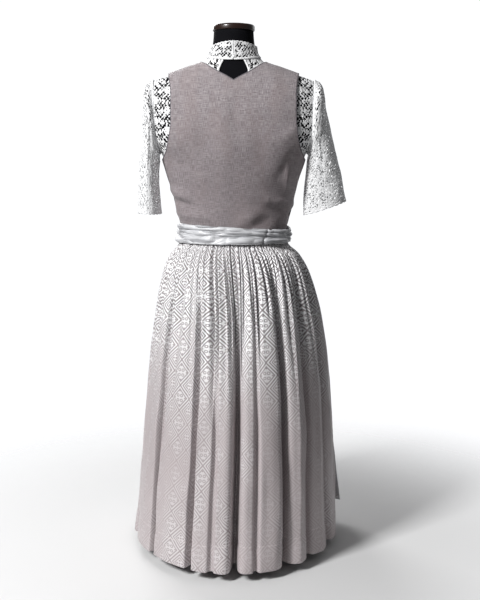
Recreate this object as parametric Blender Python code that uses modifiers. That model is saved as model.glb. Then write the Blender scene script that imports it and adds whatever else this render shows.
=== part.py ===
# Dirndl on a dress form: lace blouse, linen bodice, gathered skirt, apron with satin ties.
# Metres, +Z up. The origin is the centre of the base's underside. The wearer faces -Y, and
# +X is the wearer's left.
import math

import bmesh
import bpy
import numpy as np

# Driving sizes
HEM_Z = 0.020
SKIRT_LENGTH = 0.710
WAIST_Z = HEM_Z + SKIRT_LENGTH
SEAM_GAP = 0.0003
LACE_WALL = 0.0010
LINEN_WALL = 0.0015
SKIRT_WALL = 0.0012
APRON_WALL = 0.0010
SATIN_WALL = 0.0022

MERGE_DISTANCE = 0.00005

# Sampling of the body's surface: step for its slope, and the shoulder line's samples
SLOPE_STEP = 0.0004
RIDGE_START = 0.290
RIDGE_STEPS = 1200

# How far each layer lies outside the form
BLOUSE_EASE = 0.0010
FORM_TRIM = -0.0009
ARMPIT_SHARE = 0.52
FLAT_ALLOWANCE = 0.0006
LIFT_PASSES = 3
NECK_LIFT_RISE = 0.350
NECK_LIFT_RUN = 0.012
NECK_LIFT = 0.35
LIFT_LIMIT = 0.0012
BODICE_EASE = 0.0054

# Form and stand
FORM_SIDES = 28
NECK_TOP = 0.441
CAP_HEIGHT = 0.016
CAP_RADIUS = 0.0475
CAP_EDGE_SHARE = 0.35
CAP_ARC_STEPS = 4
CAP_ARC_DEGREES = 22.0
CAP_SIDES = 20
POLE_RADIUS = 0.0160
POLE_COLLAR_RADIUS = 0.0272
POLE_COLLAR_HEIGHT = 0.012
POLE_CONE_HEIGHT = 0.020
POLE_SIDES = 16
BASE_RADIUS = 0.150
BASE_HEIGHT = 0.014
BASE_EDGE = [
    # inset from the radius, drop from the top
    (0.030, 0.000),
    (0.006, 0.004),
    (0.000, 0.009),
]
BASE_SIDES = 28
FORM_BOTTOM = -0.235

# The body's horizontal sections. rise: height above the waist seam. side: half width.
# back, front: depths. square: 2 is an ellipse, and more is boxier.
BODY = [
    # rise, side, back, front, square
    (-0.235, 0.1150, 0.0800, 0.0760, 2.0),
    (-0.215, 0.1400, 0.0980, 0.0940, 2.1),
    (-0.150, 0.1520, 0.1080, 0.1010, 2.1),
    (-0.090, 0.1370, 0.0990, 0.0960, 2.1),
    (-0.030, 0.1175, 0.0850, 0.0870, 2.0),
    (0.000, 0.1146, 0.0830, 0.0860, 2.0),
    (0.053, 0.1260, 0.0848, 0.0908, 2.0),
    (0.094, 0.1360, 0.0880, 0.0995, 2.0),
    (0.120, 0.1440, 0.0910, 0.1105, 2.1),
    (0.157, 0.1555, 0.0945, 0.1240, 2.2),
    (0.175, 0.1635, 0.0960, 0.1230, 2.3),
    (0.195, 0.1795, 0.0960, 0.1150, 2.4),
    (0.215, 0.1895, 0.0950, 0.1070, 2.5),
    (0.255, 0.1955, 0.0910, 0.0970, 2.5),
    (0.290, 0.1955, 0.0830, 0.0860, 2.5),
    (0.310, 0.1925, 0.0760, 0.0800, 2.4),
    (0.322, 0.1860, 0.0710, 0.0750, 2.3),
    (0.3317, 0.1750, 0.0670, 0.0700, 2.2),
    (0.3415, 0.1480, 0.0620, 0.0650, 2.2),
    (0.355, 0.1095, 0.0570, 0.0600, 2.2),
    (0.368, 0.0720, 0.0520, 0.0550, 2.1),
    (0.384, 0.0565, 0.0490, 0.0510, 2.0),
    (0.400, 0.0505, 0.0475, 0.0490, 2.0),
    (0.420, 0.0470, 0.0465, 0.0480, 2.0),
    (0.441, 0.0455, 0.0455, 0.0470, 2.0),
]
FORM_RISES = [-0.235, -0.215, -0.150, -0.080, -0.030, 0.000, 0.030, 0.060, 0.094, 0.125, 0.157,
              0.178, 0.196, 0.215, 0.240, 0.270, 0.298, 0.315, 0.326, 0.3345, 0.3435, 0.355,
              0.364, 0.374, 0.386, 0.405, 0.441]

# Collar: heights above the waist seam at the centre back, the sides and the centre front
COLLAR_BASE = {"back": 0.377, "side": 0.384, "front": 0.366}
COLLAR_TOP = {"back": 0.416, "side": 0.407, "front": 0.398}
COLLAR_COLUMNS = 24
COLLAR_LEVELS = 2
COLLAR_OPENING_TURN = 0.006
COLLAR_HOLE_STEP = 4
COLLAR_FLARE = 0.0012
COLLAR_SEAM_DROP = 0.0028

# Blouse back edge beside the keyhole and the centre back closing (one half)
KEYHOLE = [
    # x, rise
    (0.0205, 0.3765),
    (0.0212, 0.3748),
    (0.0232, 0.3705),
    (0.0275, 0.3615),
    (0.0313, 0.3490),
    (0.0220, 0.3350),
    (0.0003, 0.3190),
    (0.0003, 0.2850),
    (0.0003, 0.2400),
    (0.0003, 0.1950),
    (0.0003, 0.1720),
    (0.0003, 0.1500),
    (0.0003, 0.0980),
]
BLOUSE_BOTTOM = 0.098
# Drop of each blouse row below the shoulder line, measured at the armhole seam
BLOUSE_ROW_DROPS = [0.0, 0.0015, 0.0060, 0.0150, 0.0360, 0.0580, 0.0800, 0.1020, 0.1240,
                    0.1440, 0.1575, 0.1750, 0.2331]
BLOUSE_COLUMNS = 7
BLOUSE_NECK_COLUMNS = 3
BLOUSE_BACK_NECK_ANGLES = [66.0, 50.0, 30.0, 0.0]
BLOUSE_FRONT_NECK_ANGLES = [270.0, 302.0, 332.0, 360.0]
# Rows with gaps in the lace, beside the neck and beside the armhole
BACK_NECK_HOLE_ROWS = range(3, 7)
FRONT_NECK_HOLE_ROWS = range(3, 8)
ARM_HOLE_ROWS = range(3, 10)

# The seam that joins the blouse and its sleeves, from the shoulder down to the underarm
ARMSCYE = [
    # rise, x
    (0.1735, 0.1645),
    (0.1850, 0.1670),
    (0.2150, 0.1715),
    (0.2550, 0.1740),
    (0.3000, 0.1755),
    (0.3310, 0.1765),
]

# Bodice: the armhole's edge, the back's V neckline and the front's neckline (one half)
BODICE_ARMHOLE = [
    # rise, x
    (0.1570, 0.1555),
    (0.1680, 0.1505),
    (0.1850, 0.1455),
    (0.2100, 0.1410),
    (0.2400, 0.1390),
    (0.2900, 0.1395),
    (0.3200, 0.1420),
    (0.3415, 0.1480),
]
BODICE_TIP_X = 0.1480
BODICE_NECK_X = 0.0720
V_POINT_RISE = 0.3270
BODICE_BOTTOM = 0.0016
# Back rows: share of the V edge from the shoulder (then the centre back's rise), drop of the
# outer end below the shoulder tip
BODICE_BACK_ROWS = [
    # neck share, centre rise, outer drop
    (0.000, None, 0.0000),
    (0.023, None, 0.0015),
    (0.085, None, 0.0060),
    (0.190, None, 0.0135),
    (0.360, None, 0.0260),
    (0.660, None, 0.0460),
    (1.000, None, 0.0700),
    (None, 0.2700, 0.1060),
    (None, 0.2120, 0.1480),
    (None, 0.1850, 0.1650),
    (None, 0.1700, 0.1775),
    (None, 0.1540, 0.1845),
    (None, 0.0940, 0.2475),
    (None, 0.0400, 0.3015),
    (None, BODICE_BOTTOM, 0.3415),
]
BODICE_COLUMNS = 7
FRONT_NECKLINE = [
    # x, rise
    (0.0720, 0.3680),
    (0.0714, 0.3666),
    (0.0706, 0.3622),
    (0.0699, 0.3535),
    (0.0690, 0.3390),
    (0.0672, 0.3150),
    (0.0620, 0.2830),
    (0.0440, 0.2450),
    (0.0003, 0.2150),
    (0.0003, 0.1900),
    (0.0003, 0.1720),
    (0.0003, 0.1550),
    (0.0003, 0.0940),
    (0.0003, 0.0400),
    (0.0003, BODICE_BOTTOM),
]
FRONT_ROW_DROPS = [0.0, 0.0015, 0.0060, 0.0150, 0.0300, 0.0540, 0.0860, 0.1180, 0.1480,
                   0.1650, 0.1775, 0.1845, 0.2475, 0.3015, 0.3415]
BUTTON_COUNT = 7
BUTTON_RADIUS = 0.0055
BUTTON_HEIGHT = 0.0042
BUTTON_SEAT = 0.0006
BUTTON_EDGE = 0.0010
FIRST_BUTTON_RISE = 0.022
LAST_BUTTON_RISE = 0.203
COLLAR_BUTTON_RADIUS = 0.0038
COLLAR_BUTTON_HEIGHT = 0.0030
COLLAR_BUTTON_RISE = 0.004
COLLAR_BUTTON_SEAT = 0.0010
DOME_LEVELS = [
    # share of the radius, share of the height
    (1.00, 0.0),
    (0.75, 1.0),
]
DOME_SIDES = 8

# Sleeves: section rings from the armhole seam to the hem. Each has its underarm end, its
# outer end and its half depth. The wearer's left sleeve hangs straight and the right one
# stands out.
SLEEVE_LEFT = [
    # under_x, under_rise, outer_x, outer_rise, half_depth
    (0.1725, 0.1670, 0.1925, 0.3290, 0.0640),
    (0.1702, 0.1600, 0.1995, 0.3160, 0.0640),
    (0.1695, 0.1510, 0.2015, 0.2850, 0.0630),
    (0.1710, 0.1390, 0.2035, 0.2480, 0.0610),
    (0.1720, 0.1250, 0.2060, 0.2080, 0.0610),
    (0.1720, 0.1080, 0.2090, 0.1670, 0.0610),
    (0.1705, 0.0870, 0.2125, 0.1250, 0.0605),
    (0.1680, 0.0620, 0.2155, 0.0820, 0.0600),
    (0.1655, 0.0350, 0.2170, 0.0380, 0.0600),
]
SLEEVE_RIGHT = [
    # under_x, under_rise, outer_x, outer_rise, half_depth
    (0.1725, 0.1660, 0.1925, 0.3290, 0.0640),
    (0.1700, 0.1580, 0.1995, 0.3160, 0.0635),
    (0.1670, 0.1480, 0.2040, 0.2830, 0.0610),
    (0.1660, 0.1360, 0.2140, 0.2480, 0.0560),
    (0.1650, 0.1210, 0.2225, 0.2060, 0.0540),
    (0.1635, 0.1040, 0.2335, 0.1620, 0.0510),
    (0.1620, 0.0830, 0.2425, 0.1220, 0.0480),
    (0.1605, 0.0580, 0.2500, 0.0900, 0.0450),
    (0.1600, 0.0320, 0.2570, 0.0640, 0.0430),
]
SLEEVE_SQUARE = 2.2
SLEEVE_HALF_COLUMNS = 6
ARMSCYE_SEAM_OUT = 0.0028
SHOULDER_SEAM_RISE = 0.0025
FRONT_SEAM_OUT = 0.0030
SLEEVE_SEAM_DROP = 0.0004
SLEEVE_HOLE_STEP = 3
LACE_HOLE_INSET = 0.36
LACE_MIN_CELL = 0.012

# Skirt: crest sections. gather: depth of the small waist gathers. share: how much of each
# fold's own depth has opened. lean: 0 keeps the gathers evenly spaced, 1 sets them on the folds.
SKIRT_ROWS = [
    # drop, side, back, front, shift, gather, share, lean
    (0.0003, 0.1202, 0.0886, 0.0916, 0.000, 0.0024, 0.00, 0.00),
    (0.0300, 0.1246, 0.0921, 0.0941, 0.000, 0.0040, 0.00, 0.05),
    (0.0560, 0.1500, 0.1230, 0.1220, -0.002, 0.0110, 0.05, 0.25),
    (0.1000, 0.1720, 0.1540, 0.1450, -0.006, 0.0120, 0.18, 0.50),
    (0.1850, 0.1925, 0.1900, 0.1690, -0.010, 0.0070, 0.42, 0.85),
    (0.3500, 0.2130, 0.2330, 0.1970, -0.012, 0.0010, 0.70, 1.00),
    (0.7100, 0.2375, 0.2850, 0.2230, -0.0050, 0.0000, 1.00, 1.00),
]
FOLDS = [
    # angle of the valley at the hem in degrees from +X towards the back, depth, half width
    (12.0, 0.030, 3.6),
    (37.0, 0.040, 3.0),
    (64.0, 0.030, 2.8),
    (76.5, 0.020, 2.2),
    (89.0, 0.056, 2.6),
    (100.5, 0.020, 2.2),
    (119.0, 0.056, 2.6),
    (136.0, 0.030, 3.0),
    (157.0, 0.040, 3.4),
    (178.0, 0.026, 3.4),
    (196.0, 0.040, 3.2),
    (213.0, 0.030, 3.0),
    (229.0, 0.042, 3.0),
    (246.0, 0.028, 2.8),
    (262.0, 0.040, 2.8),
    (279.0, 0.030, 2.8),
    (296.0, 0.042, 3.0),
    (312.0, 0.030, 3.0),
    (329.0, 0.040, 3.2),
    (348.0, 0.030, 3.4),
]
# Points of one fold: place between two valleys, and share of the depth that is left there
FOLD_PROFILE = [
    # side of the crest, place, depth share
    ("valley", 0.28, 1.00),
    ("valley", 1.00, 0.10),
    ("crest", 0.25, 0.02),
    ("crest", 0.50, 0.00),
    ("crest", 0.75, 0.02),
    ("next", 1.00, 0.10),
    ("next", 0.28, 1.00),
]
GATHER_COUNT = 58

# Apron: the skirt's front columns moved out
APRON_FIRST_FOLD = 10
APRON_LAST_FOLD = 19
APRON_OUT = 0.0034
APRON_SOFTNESS = 0.5
APRON_TOP_GAP = 0.0003
APRON_SHORTER = 0.030
APRON_EDGE_FLARE = 0.010
APRON_FLARE_COLUMNS = 5

# Apron ties wrapped round the waist
TIE_ROWS = [
    # rise, ease
    (0.0105, 0.0094),
    (-0.0010, 0.0094),
    (-0.0110, 0.0090),
    (-0.0200, 0.0092),
    (-0.0292, 0.0094),
]
TIE_SIDES = 36
TIE_CREASE = 0.0006
TIE_CREASE_WAVES = 3
TIE_CREASE_STEP = 2.1
KNOT_RISE = -0.010
KNOT_SIZE = (0.030, 0.016, 0.036)
KNOT_BACK_WIDTH = 0.86
KNOT_FRONT_WIDTH = 0.70
KNOT_FRONT_HEIGHT = 0.80
KNOT_EDGE = 0.004
KNOT_CLEAR = 0.0010
LOOP_START = 0.0128
LOOP_LENGTH = 0.085
LOOP_STATIONS = [
    # place along the loop, half height, half thickness, sag
    (0.00, 0.0080, 0.0027, 0.0000),
    (0.12, 0.0114, 0.0042, -0.0001),
    (0.35, 0.0168, 0.0060, -0.0007),
    (0.65, 0.0200, 0.0050, -0.0025),
    (0.88, 0.0200, 0.0022, -0.0046),
    (1.00, 0.0200, 0.0016, -0.0060),
]
LOOP_SIDES = 10
LOOP_CLEAR = 0.0010
LOOP_TURN = 0.030
LOOP_KNOT_SHARE = 0.55
TAIL_WIDTH = 0.044
TAIL_LENGTH = 0.400
TAIL_LIFT = 0.0010
TAIL_START = 0.016
TAIL_SPREAD = 0.050
TAIL_PINCH = 0.45
TAIL_OPENING = 2.2
TAIL_OUT = 0.0085
TAIL_KNOT_OUT = 0.0070
TAIL_KNOT_RUN = 7.0
TAIL_RIPPLE = 0.0012
TAIL_RIPPLE_TURN = 9.0
TAIL_RIPPLE_STEP = 1.3
TAIL_ROWS = 10

COLORS = {
    # finish: colour, roughness, metallic
    "linen": ((0.36, 0.30, 0.31, 1.0), 0.85, 0.0),
    "damask": ((0.46, 0.42, 0.42, 1.0), 0.70, 0.0),
    "satin": ((0.55, 0.54, 0.56, 1.0), 0.35, 0.0),
    "lace": ((0.82, 0.82, 0.84, 1.0), 0.80, 0.0),
    "apron_cloth": ((0.62, 0.61, 0.62, 1.0), 0.60, 0.0),
    "form_cover": ((0.012, 0.012, 0.015, 1.0), 0.75, 0.0),
    "cap_wood": ((0.030, 0.012, 0.006, 1.0), 0.35, 0.0),
    "steel": ((0.08, 0.08, 0.085, 1.0), 0.40, 1.0),
    "button_metal": ((0.45, 0.44, 0.43, 1.0), 0.30, 1.0),
}


class Curve:
    """A smooth curve through a table's points that never overshoots them."""

    def __init__(self, places, values):
        self.places = np.asarray(places, float)
        self.values = np.asarray(values, float)
        steps = np.diff(self.places)
        slopes = np.diff(self.values) / steps
        tangents = np.zeros(len(self.values))
        tangents[0] = slopes[0]
        tangents[-1] = slopes[-1]
        for i in range(1, len(slopes)):
            if slopes[i - 1] * slopes[i] > 0:
                before = 2 * steps[i] + steps[i - 1]
                after = steps[i] + 2 * steps[i - 1]
                tangents[i] = (before + after) / (before / slopes[i - 1] + after / slopes[i])
        self.steps = steps
        self.tangents = tangents

    def __call__(self, place):
        place = min(max(place, self.places[0]), self.places[-1])
        i = int(np.searchsorted(self.places, place, side="right")) - 1
        i = min(max(i, 0), len(self.steps) - 1)
        h = self.steps[i]
        t = (place - self.places[i]) / h
        a = (1 + 2 * t) * (1 - t) ** 2 * self.values[i]
        b = t * (1 - t) ** 2 * h * self.tangents[i]
        c = t * t * (3 - 2 * t) * self.values[i + 1]
        d = t * t * (t - 1) * h * self.tangents[i + 1]
        return a + b + c + d


def column(table, key, value):
    return Curve([row[key] for row in table], [row[value] for row in table])


BODY_SIDE = column(BODY, 0, 1)
BODY_BACK = column(BODY, 0, 2)
BODY_FRONT = column(BODY, 0, 3)
BODY_SQUARE = column(BODY, 0, 4)
ARMSCYE_X = column(ARMSCYE, 0, 1)
ARMHOLE_X = column(BODICE_ARMHOLE, 0, 1)
RIDGE_RISES = np.linspace(RIDGE_START, NECK_TOP, RIDGE_STEPS)
RIDGE_SIDES = np.array([BODY_SIDE(r) for r in RIDGE_RISES])


def ridge_rise(x):
    """Height of the shoulder line at a distance x from the middle."""
    return float(np.interp(x, RIDGE_SIDES[::-1], RIDGE_RISES[::-1]))


def body_depth(rise, facing):
    return BODY_BACK(rise) if facing > 0 else BODY_FRONT(rise)


def body_y(x, rise, facing):
    side = BODY_SIDE(rise)
    square = BODY_SQUARE(rise)
    left = max(0.0, 1.0 - (abs(x) / side) ** square)
    return facing * body_depth(rise, facing) * left ** (1.0 / square)


def body_level(x, y, rise):
    square = BODY_SQUARE(rise)
    depth = body_depth(rise, 1 if y >= 0 else -1)
    return (abs(x) / BODY_SIDE(rise)) ** square + (abs(y) / depth) ** square


def outward(x, y, rise):
    """The surface's direction at a point, and the point's distance outside the surface."""
    step = SLOPE_STEP
    slope = np.array([
        body_level(x + step, y, rise) - body_level(x - step, y, rise),
        body_level(x, y + step, rise) - body_level(x, y - step, rise),
        body_level(x, y, rise + step) - body_level(x, y, rise - step),
    ]) / (2 * step)
    size = np.linalg.norm(slope)
    return slope / size, (body_level(x, y, rise) - 1.0) / size


def moved_out(x, y, rise, ease):
    """A point of the form's surface, moved out by the ease along the surface's normal."""
    return np.array([x, y, WAIST_Z + rise]) + ease * outward(x, y, rise)[0]


def oval(angle, side, depth, square):
    c = math.cos(angle)
    s = math.sin(angle)
    x = side * math.copysign(abs(c) ** (2.0 / square), c)
    y = depth * math.copysign(abs(s) ** (2.0 / square), s)
    return x, y


def body_ring_point(angle, rise, ease):
    facing = 1 if math.sin(angle) >= 0 else -1
    x, y = oval(angle, BODY_SIDE(rise), body_depth(rise, facing), BODY_SQUARE(rise))
    return moved_out(x, y, rise, ease)


def remove_all_objects():
    for found in list(bpy.data.objects):
        bpy.data.objects.remove(found, do_unlink=True)


def make_collection(name):
    made = bpy.data.collections.new(name)
    bpy.context.scene.collection.children.link(made)
    return made


def make_material(name):
    color, roughness, metallic = COLORS[name]
    made = bpy.data.materials.new(name)
    made.use_nodes = True
    shader = made.node_tree.nodes["Principled BSDF"]
    shader.inputs["Base Color"].default_value = color
    shader.inputs["Roughness"].default_value = roughness
    shader.inputs["Metallic"].default_value = metallic
    return made


def add_object(name, shape, finish):
    made = bpy.data.objects.new(name, shape)
    shape.materials.append(MATERIALS[finish])
    PARTS.objects.link(made)
    return made


def add_solidify(piece, thickness):
    """Thicken an open sheet outwards, away from what it lies on."""
    wall = piece.modifiers.new("wall", "SOLIDIFY")
    wall.thickness = thickness
    wall.offset = 1.0
    wall.use_quality_normals = True
    return wall


def add_mirror(piece):
    mirror = piece.modifiers.new("other half", "MIRROR")
    mirror.merge_threshold = MERGE_DISTANCE
    return mirror


def grid(rows, closed=False, flip=False, holes=()):
    """A sheet through rows of points. Faces look out where columns run from +X round by the
    back and rows run upwards."""
    bm = bmesh.new()
    made = [[bm.verts.new(p) for p in row] for row in rows]
    cut = []
    for j in range(len(rows) - 1):
        count = len(rows[j])
        for i in range(count if closed else count - 1):
            n = (i + 1) % count
            corners = [made[j][i], made[j][n], made[j + 1][n], made[j + 1][i]]
            if flip:
                corners.reverse()
            face = bm.faces.new(corners)
            if (i, j) in holes:
                cut.append(face)
    for face in cut:
        size = min(edge.calc_length() for edge in face.edges)
        bmesh.ops.inset_individual(bm, faces=[face], thickness=size * LACE_HOLE_INSET,
                                   use_even_offset=True)
    if cut:
        bmesh.ops.delete(bm, geom=cut, context="FACES_ONLY")
    shape = bpy.data.meshes.new("sheet")
    bm.to_mesh(shape)
    bm.free()
    return shape


def wide_enough(rows, i, j):
    corners = [rows[j][i], rows[j][i + 1], rows[j + 1][i + 1], rows[j + 1][i]]
    sides = [np.linalg.norm(corners[k] - corners[(k + 1) % 4]) for k in range(4)]
    return min(sides) > LACE_MIN_CELL


def spread(edge):
    """Each point's share of the way across an edge."""
    return [(p[0] - edge[0][0]) / (edge[-1][0] - edge[0][0]) for p in edge]


def patch(left, right, top, bottom):
    """Fill four edges of (x, rise) points. Rows run down from the top edge. Columns are spread
    as on the top edge there, and as on the bottom edge from the armpit down."""
    rows = []
    last = len(top) - 1
    top_spread = spread(top)
    bottom_spread = spread(bottom)
    for (left_x, left_rise), (right_x, right_rise) in zip(left, right):
        r = (top[0][1] - left_rise) / (top[0][1] - left[-1][1])
        q = (top[-1][1] - right_rise) / (top[-1][1] - right[-1][1])
        low = min(1.0, q / ARMPIT_SHARE)
        row = []
        for i in range(last + 1):
            s = i / last
            across = (1 - low) * top_spread[i] + low * bottom_spread[i]
            x = left_x + (right_x - left_x) * across
            down = (1 - s) * r + s * q
            rise = (1 - s) * left_rise + s * right_rise
            rise += (1 - down) * top[i][1] + down * bottom[i][1]
            rise -= (1 - down) * ((1 - s) * top[0][1] + s * top[-1][1])
            rise -= down * ((1 - s) * bottom[0][1] + s * bottom[-1][1])
            row.append((x, rise))
        rows.append(row)
    return rows


def lift_flat_spots(rows, clear):
    """A flat facet cuts a round body's corner: lift its points until its middle is clear."""
    for _ in range(LIFT_PASSES):
        push = [[0.0] * len(row) for row in rows]
        for j in range(len(rows) - 1):
            for i in range(len(rows[j]) - 1):
                corners = ((j, i), (j, i + 1), (j + 1, i + 1), (j + 1, i))
                points = [rows[a][b] for a, b in corners]
                for first, second in ((0, 2), (1, 3), (0, 1), (1, 2), (2, 3), (3, 0)):
                    middle = (points[first] + points[second]) / 2
                    away = outward(middle[0], middle[1], middle[2] - WAIST_Z)[1]
                    lack = min(LIFT_LIMIT, max(0.0, clear - away))
                    for k in (first, second):
                        a, b = corners[k]
                        push[a][b] = max(push[a][b], lack)
        for j, row in enumerate(rows):
            for i, point in enumerate(row):
                if push[j][i] > 0.0:
                    way = outward(point[0], point[1], point[2] - WAIST_Z)[0]
                    row[i] = point + way * push[j][i]
    return rows


def drape(flat_rows, facing, ease, neck_lift=0.0):
    """Lay rows of (x, rise) points on the form's back (facing 1) or front (facing -1)."""
    rows = []
    for j, flat in enumerate(flat_rows):
        row = []
        for x, rise in flat:
            side = BODY_SIDE(rise)
            x = min(x, side)
            y = body_y(x, rise, facing)
            if abs(y) < SEAM_GAP:
                y = facing * SEAM_GAP
            near_neck = min(1.0, max(0.0, (rise - NECK_LIFT_RISE) / NECK_LIFT_RUN))
            row.append(moved_out(x, y, rise, ease * (1.0 + near_neck * neck_lift)))
        rows.append(row)
    return lift_flat_spots(rows, ease - FLAT_ALLOWANCE)


def mirrored(rows):
    return [[np.array([-p[0], p[1], p[2]]) for p in row] for row in rows]


def collar_height(heights, angle):
    s = math.sin(angle)
    end = heights["back"] if s >= 0 else heights["front"]
    return heights["side"] + (end - heights["side"]) * s * s


def collar_seam(angle):
    rise = collar_height(COLLAR_BASE, angle) - COLLAR_SEAM_DROP
    x, y = oval(angle, BODY_SIDE(rise), body_depth(rise, math.sin(angle)), 2.0)
    return abs(x), rise


def build_form():
    rows = []
    for rise in FORM_RISES:
        rows.append([body_ring_point(2 * math.pi * i / FORM_SIDES, rise, FORM_TRIM)
                     for i in range(FORM_SIDES)])
    bm = bmesh.new()
    made = [[bm.verts.new(p) for p in row] for row in rows]
    for j in range(len(rows) - 1):
        for i in range(FORM_SIDES):
            n = (i + 1) % FORM_SIDES
            bm.faces.new([made[j][i], made[j][n], made[j + 1][n], made[j + 1][i]])
    bm.faces.new(list(reversed(made[0])))
    bm.faces.new(made[-1])
    shape = bpy.data.meshes.new("torso")
    bm.to_mesh(shape)
    bm.free()
    shape.shade_smooth()
    add_object("form_torso", shape, "form_cover")


def turned(name, profile, finish, sides):
    """A lathe shape from an outline of (radius, height) points, listed from the top down."""
    shape = bpy.data.meshes.new(name)
    points = [(r, 0.0, z) for r, z in profile]
    edges = [(i, i + 1) for i in range(len(points) - 1)]
    shape.from_pydata(points, edges, [])
    made = add_object(name, shape, finish)
    screw = made.modifiers.new("turn", "SCREW")
    screw.steps = sides
    screw.render_steps = sides
    screw.use_merge_vertices = True
    screw.merge_threshold = MERGE_DISTANCE
    return made


def build_stand():
    cap_z = WAIST_Z + NECK_TOP + SEAM_GAP
    cap = [(0.0, CAP_HEIGHT)]
    for step in range(1, CAP_ARC_STEPS + 1):
        turn = math.radians(CAP_ARC_DEGREES * step)
        level = CAP_EDGE_SHARE + (1 - CAP_EDGE_SHARE) * math.cos(turn)
        cap.append((CAP_RADIUS * math.sin(turn), CAP_HEIGHT * level))
    cap.append((CAP_RADIUS, 0.0))
    cap.append((0.0, 0.0))
    turned("form_neck_cap", [(r, cap_z + z) for r, z in cap], "cap_wood", CAP_SIDES)

    low = BASE_HEIGHT + SEAM_GAP
    high = WAIST_Z + FORM_BOTTOM - SEAM_GAP
    pole = [
        (0.0, high),
        (POLE_RADIUS, high),
        (POLE_RADIUS, low + POLE_CONE_HEIGHT),
        (POLE_COLLAR_RADIUS, low + POLE_COLLAR_HEIGHT),
        (POLE_COLLAR_RADIUS, low),
        (0.0, low),
    ]
    turned("form_pole", pole, "steel", POLE_SIDES)

    base = [(0.0, BASE_HEIGHT)]
    base += [(BASE_RADIUS - inset, BASE_HEIGHT - drop) for inset, drop in BASE_EDGE]
    base += [(BASE_RADIUS, 0.0), (0.0, 0.0)]
    turned("form_base", base, "steel", BASE_SIDES)


def blouse_right_edge():
    edge = []
    top = ridge_rise(ARMSCYE[-1][1])
    for drop in BLOUSE_ROW_DROPS:
        rise = top - drop
        if rise > ARMSCYE[0][0]:
            edge.append((ARMSCYE_X(rise), rise))
        else:
            edge.append((BODY_SIDE(rise), rise))
    return edge


def blouse_top(neck_angles):
    top = [collar_seam(math.radians(a)) for a in neck_angles]
    start = ridge_rise(top[-1][0])
    top[-1] = (top[-1][0], start)
    x0 = top[-1][0]
    x1 = ARMSCYE[-1][1]
    count = BLOUSE_COLUMNS - BLOUSE_NECK_COLUMNS
    for i in range(1, count + 1):
        x = x0 + (x1 - x0) * i / count
        top.append((x, ridge_rise(x)))
    return top


def blouse_bottom(first_x):
    side = BODY_SIDE(BLOUSE_BOTTOM)
    points = [(side * math.sin(0.5 * math.pi * i / BLOUSE_COLUMNS), BLOUSE_BOTTOM)
              for i in range(BLOUSE_COLUMNS + 1)]
    points[0] = (first_x, BLOUSE_BOTTOM)
    return points


def blouse_holes(rows, neck_rows, first_column):
    holes = set()
    for j in range(len(rows) - 1):
        for i in range(BLOUSE_COLUMNS):
            near_neck = first_column <= i < BLOUSE_NECK_COLUMNS and j in neck_rows
            near_arm = i == BLOUSE_COLUMNS - 1 and j in ARM_HOLE_ROWS
            if (near_neck or near_arm) and wide_enough(rows, i, j):
                holes.add((i, j))
    return holes


def build_blouse():
    right = blouse_right_edge()
    top = blouse_top(BLOUSE_BACK_NECK_ANGLES)
    left = list(KEYHOLE)
    left[0] = top[0]
    rows = drape(patch(left, right, top, blouse_bottom(KEYHOLE[-1][0])), 1, BLOUSE_EASE)
    holes = blouse_holes(rows, BACK_NECK_HOLE_ROWS, 0)
    half = add_object("blouse_back_left", grid(rows, holes=holes), "lace")
    add_solidify(half, LACE_WALL)
    half = add_object("blouse_back_right", grid(mirrored(rows), flip=True, holes=holes), "lace")
    add_solidify(half, LACE_WALL)

    top = blouse_top(BLOUSE_FRONT_NECK_ANGLES)
    left = []
    for _x, rise in right:
        share = (right[0][1] - rise) / (right[0][1] - BLOUSE_BOTTOM)
        left.append((0.0, top[0][1] + (BLOUSE_BOTTOM - top[0][1]) * share))
    top[0] = (0.0, top[0][1])
    rows = drape(patch(left, right, top, blouse_bottom(0.0)), -1, BLOUSE_EASE)
    holes = blouse_holes(rows, FRONT_NECK_HOLE_ROWS, 1)
    front = add_object("blouse_front", grid(rows, flip=True, holes=holes), "lace")
    add_mirror(front)
    add_solidify(front, LACE_WALL)


def build_collar():
    rows = []
    opening = COLLAR_OPENING_TURN
    for level in range(COLLAR_LEVELS + 1):
        share = level / COLLAR_LEVELS
        row = []
        for i in range(COLLAR_COLUMNS + 1):
            angle = math.pi / 2 + opening + 2 * (math.pi - opening) * i / COLLAR_COLUMNS
            low = collar_height(COLLAR_BASE, angle)
            high = collar_height(COLLAR_TOP, angle)
            rise = low + (high - low) * share
            row.append(body_ring_point(angle, rise, BLOUSE_EASE + COLLAR_FLARE * share))
        rows.append(row)
    holes = {(i, j) for j in range(COLLAR_LEVELS) for i in range(1, COLLAR_COLUMNS - 1)
             if (i + j) % COLLAR_HOLE_STEP == 1}
    collar = add_object("collar", grid(rows, holes=holes), "lace")
    add_solidify(collar, LACE_WALL)

    rise = COLLAR_BASE["back"] + COLLAR_BUTTON_RISE
    seat = body_ring_point(math.pi / 2, rise, BLOUSE_EASE + LACE_WALL + COLLAR_BUTTON_SEAT)
    add_dome("collar_button", seat, (0.0, 1.0, 0.0), COLLAR_BUTTON_RADIUS,
             COLLAR_BUTTON_HEIGHT, "lace")


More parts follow.
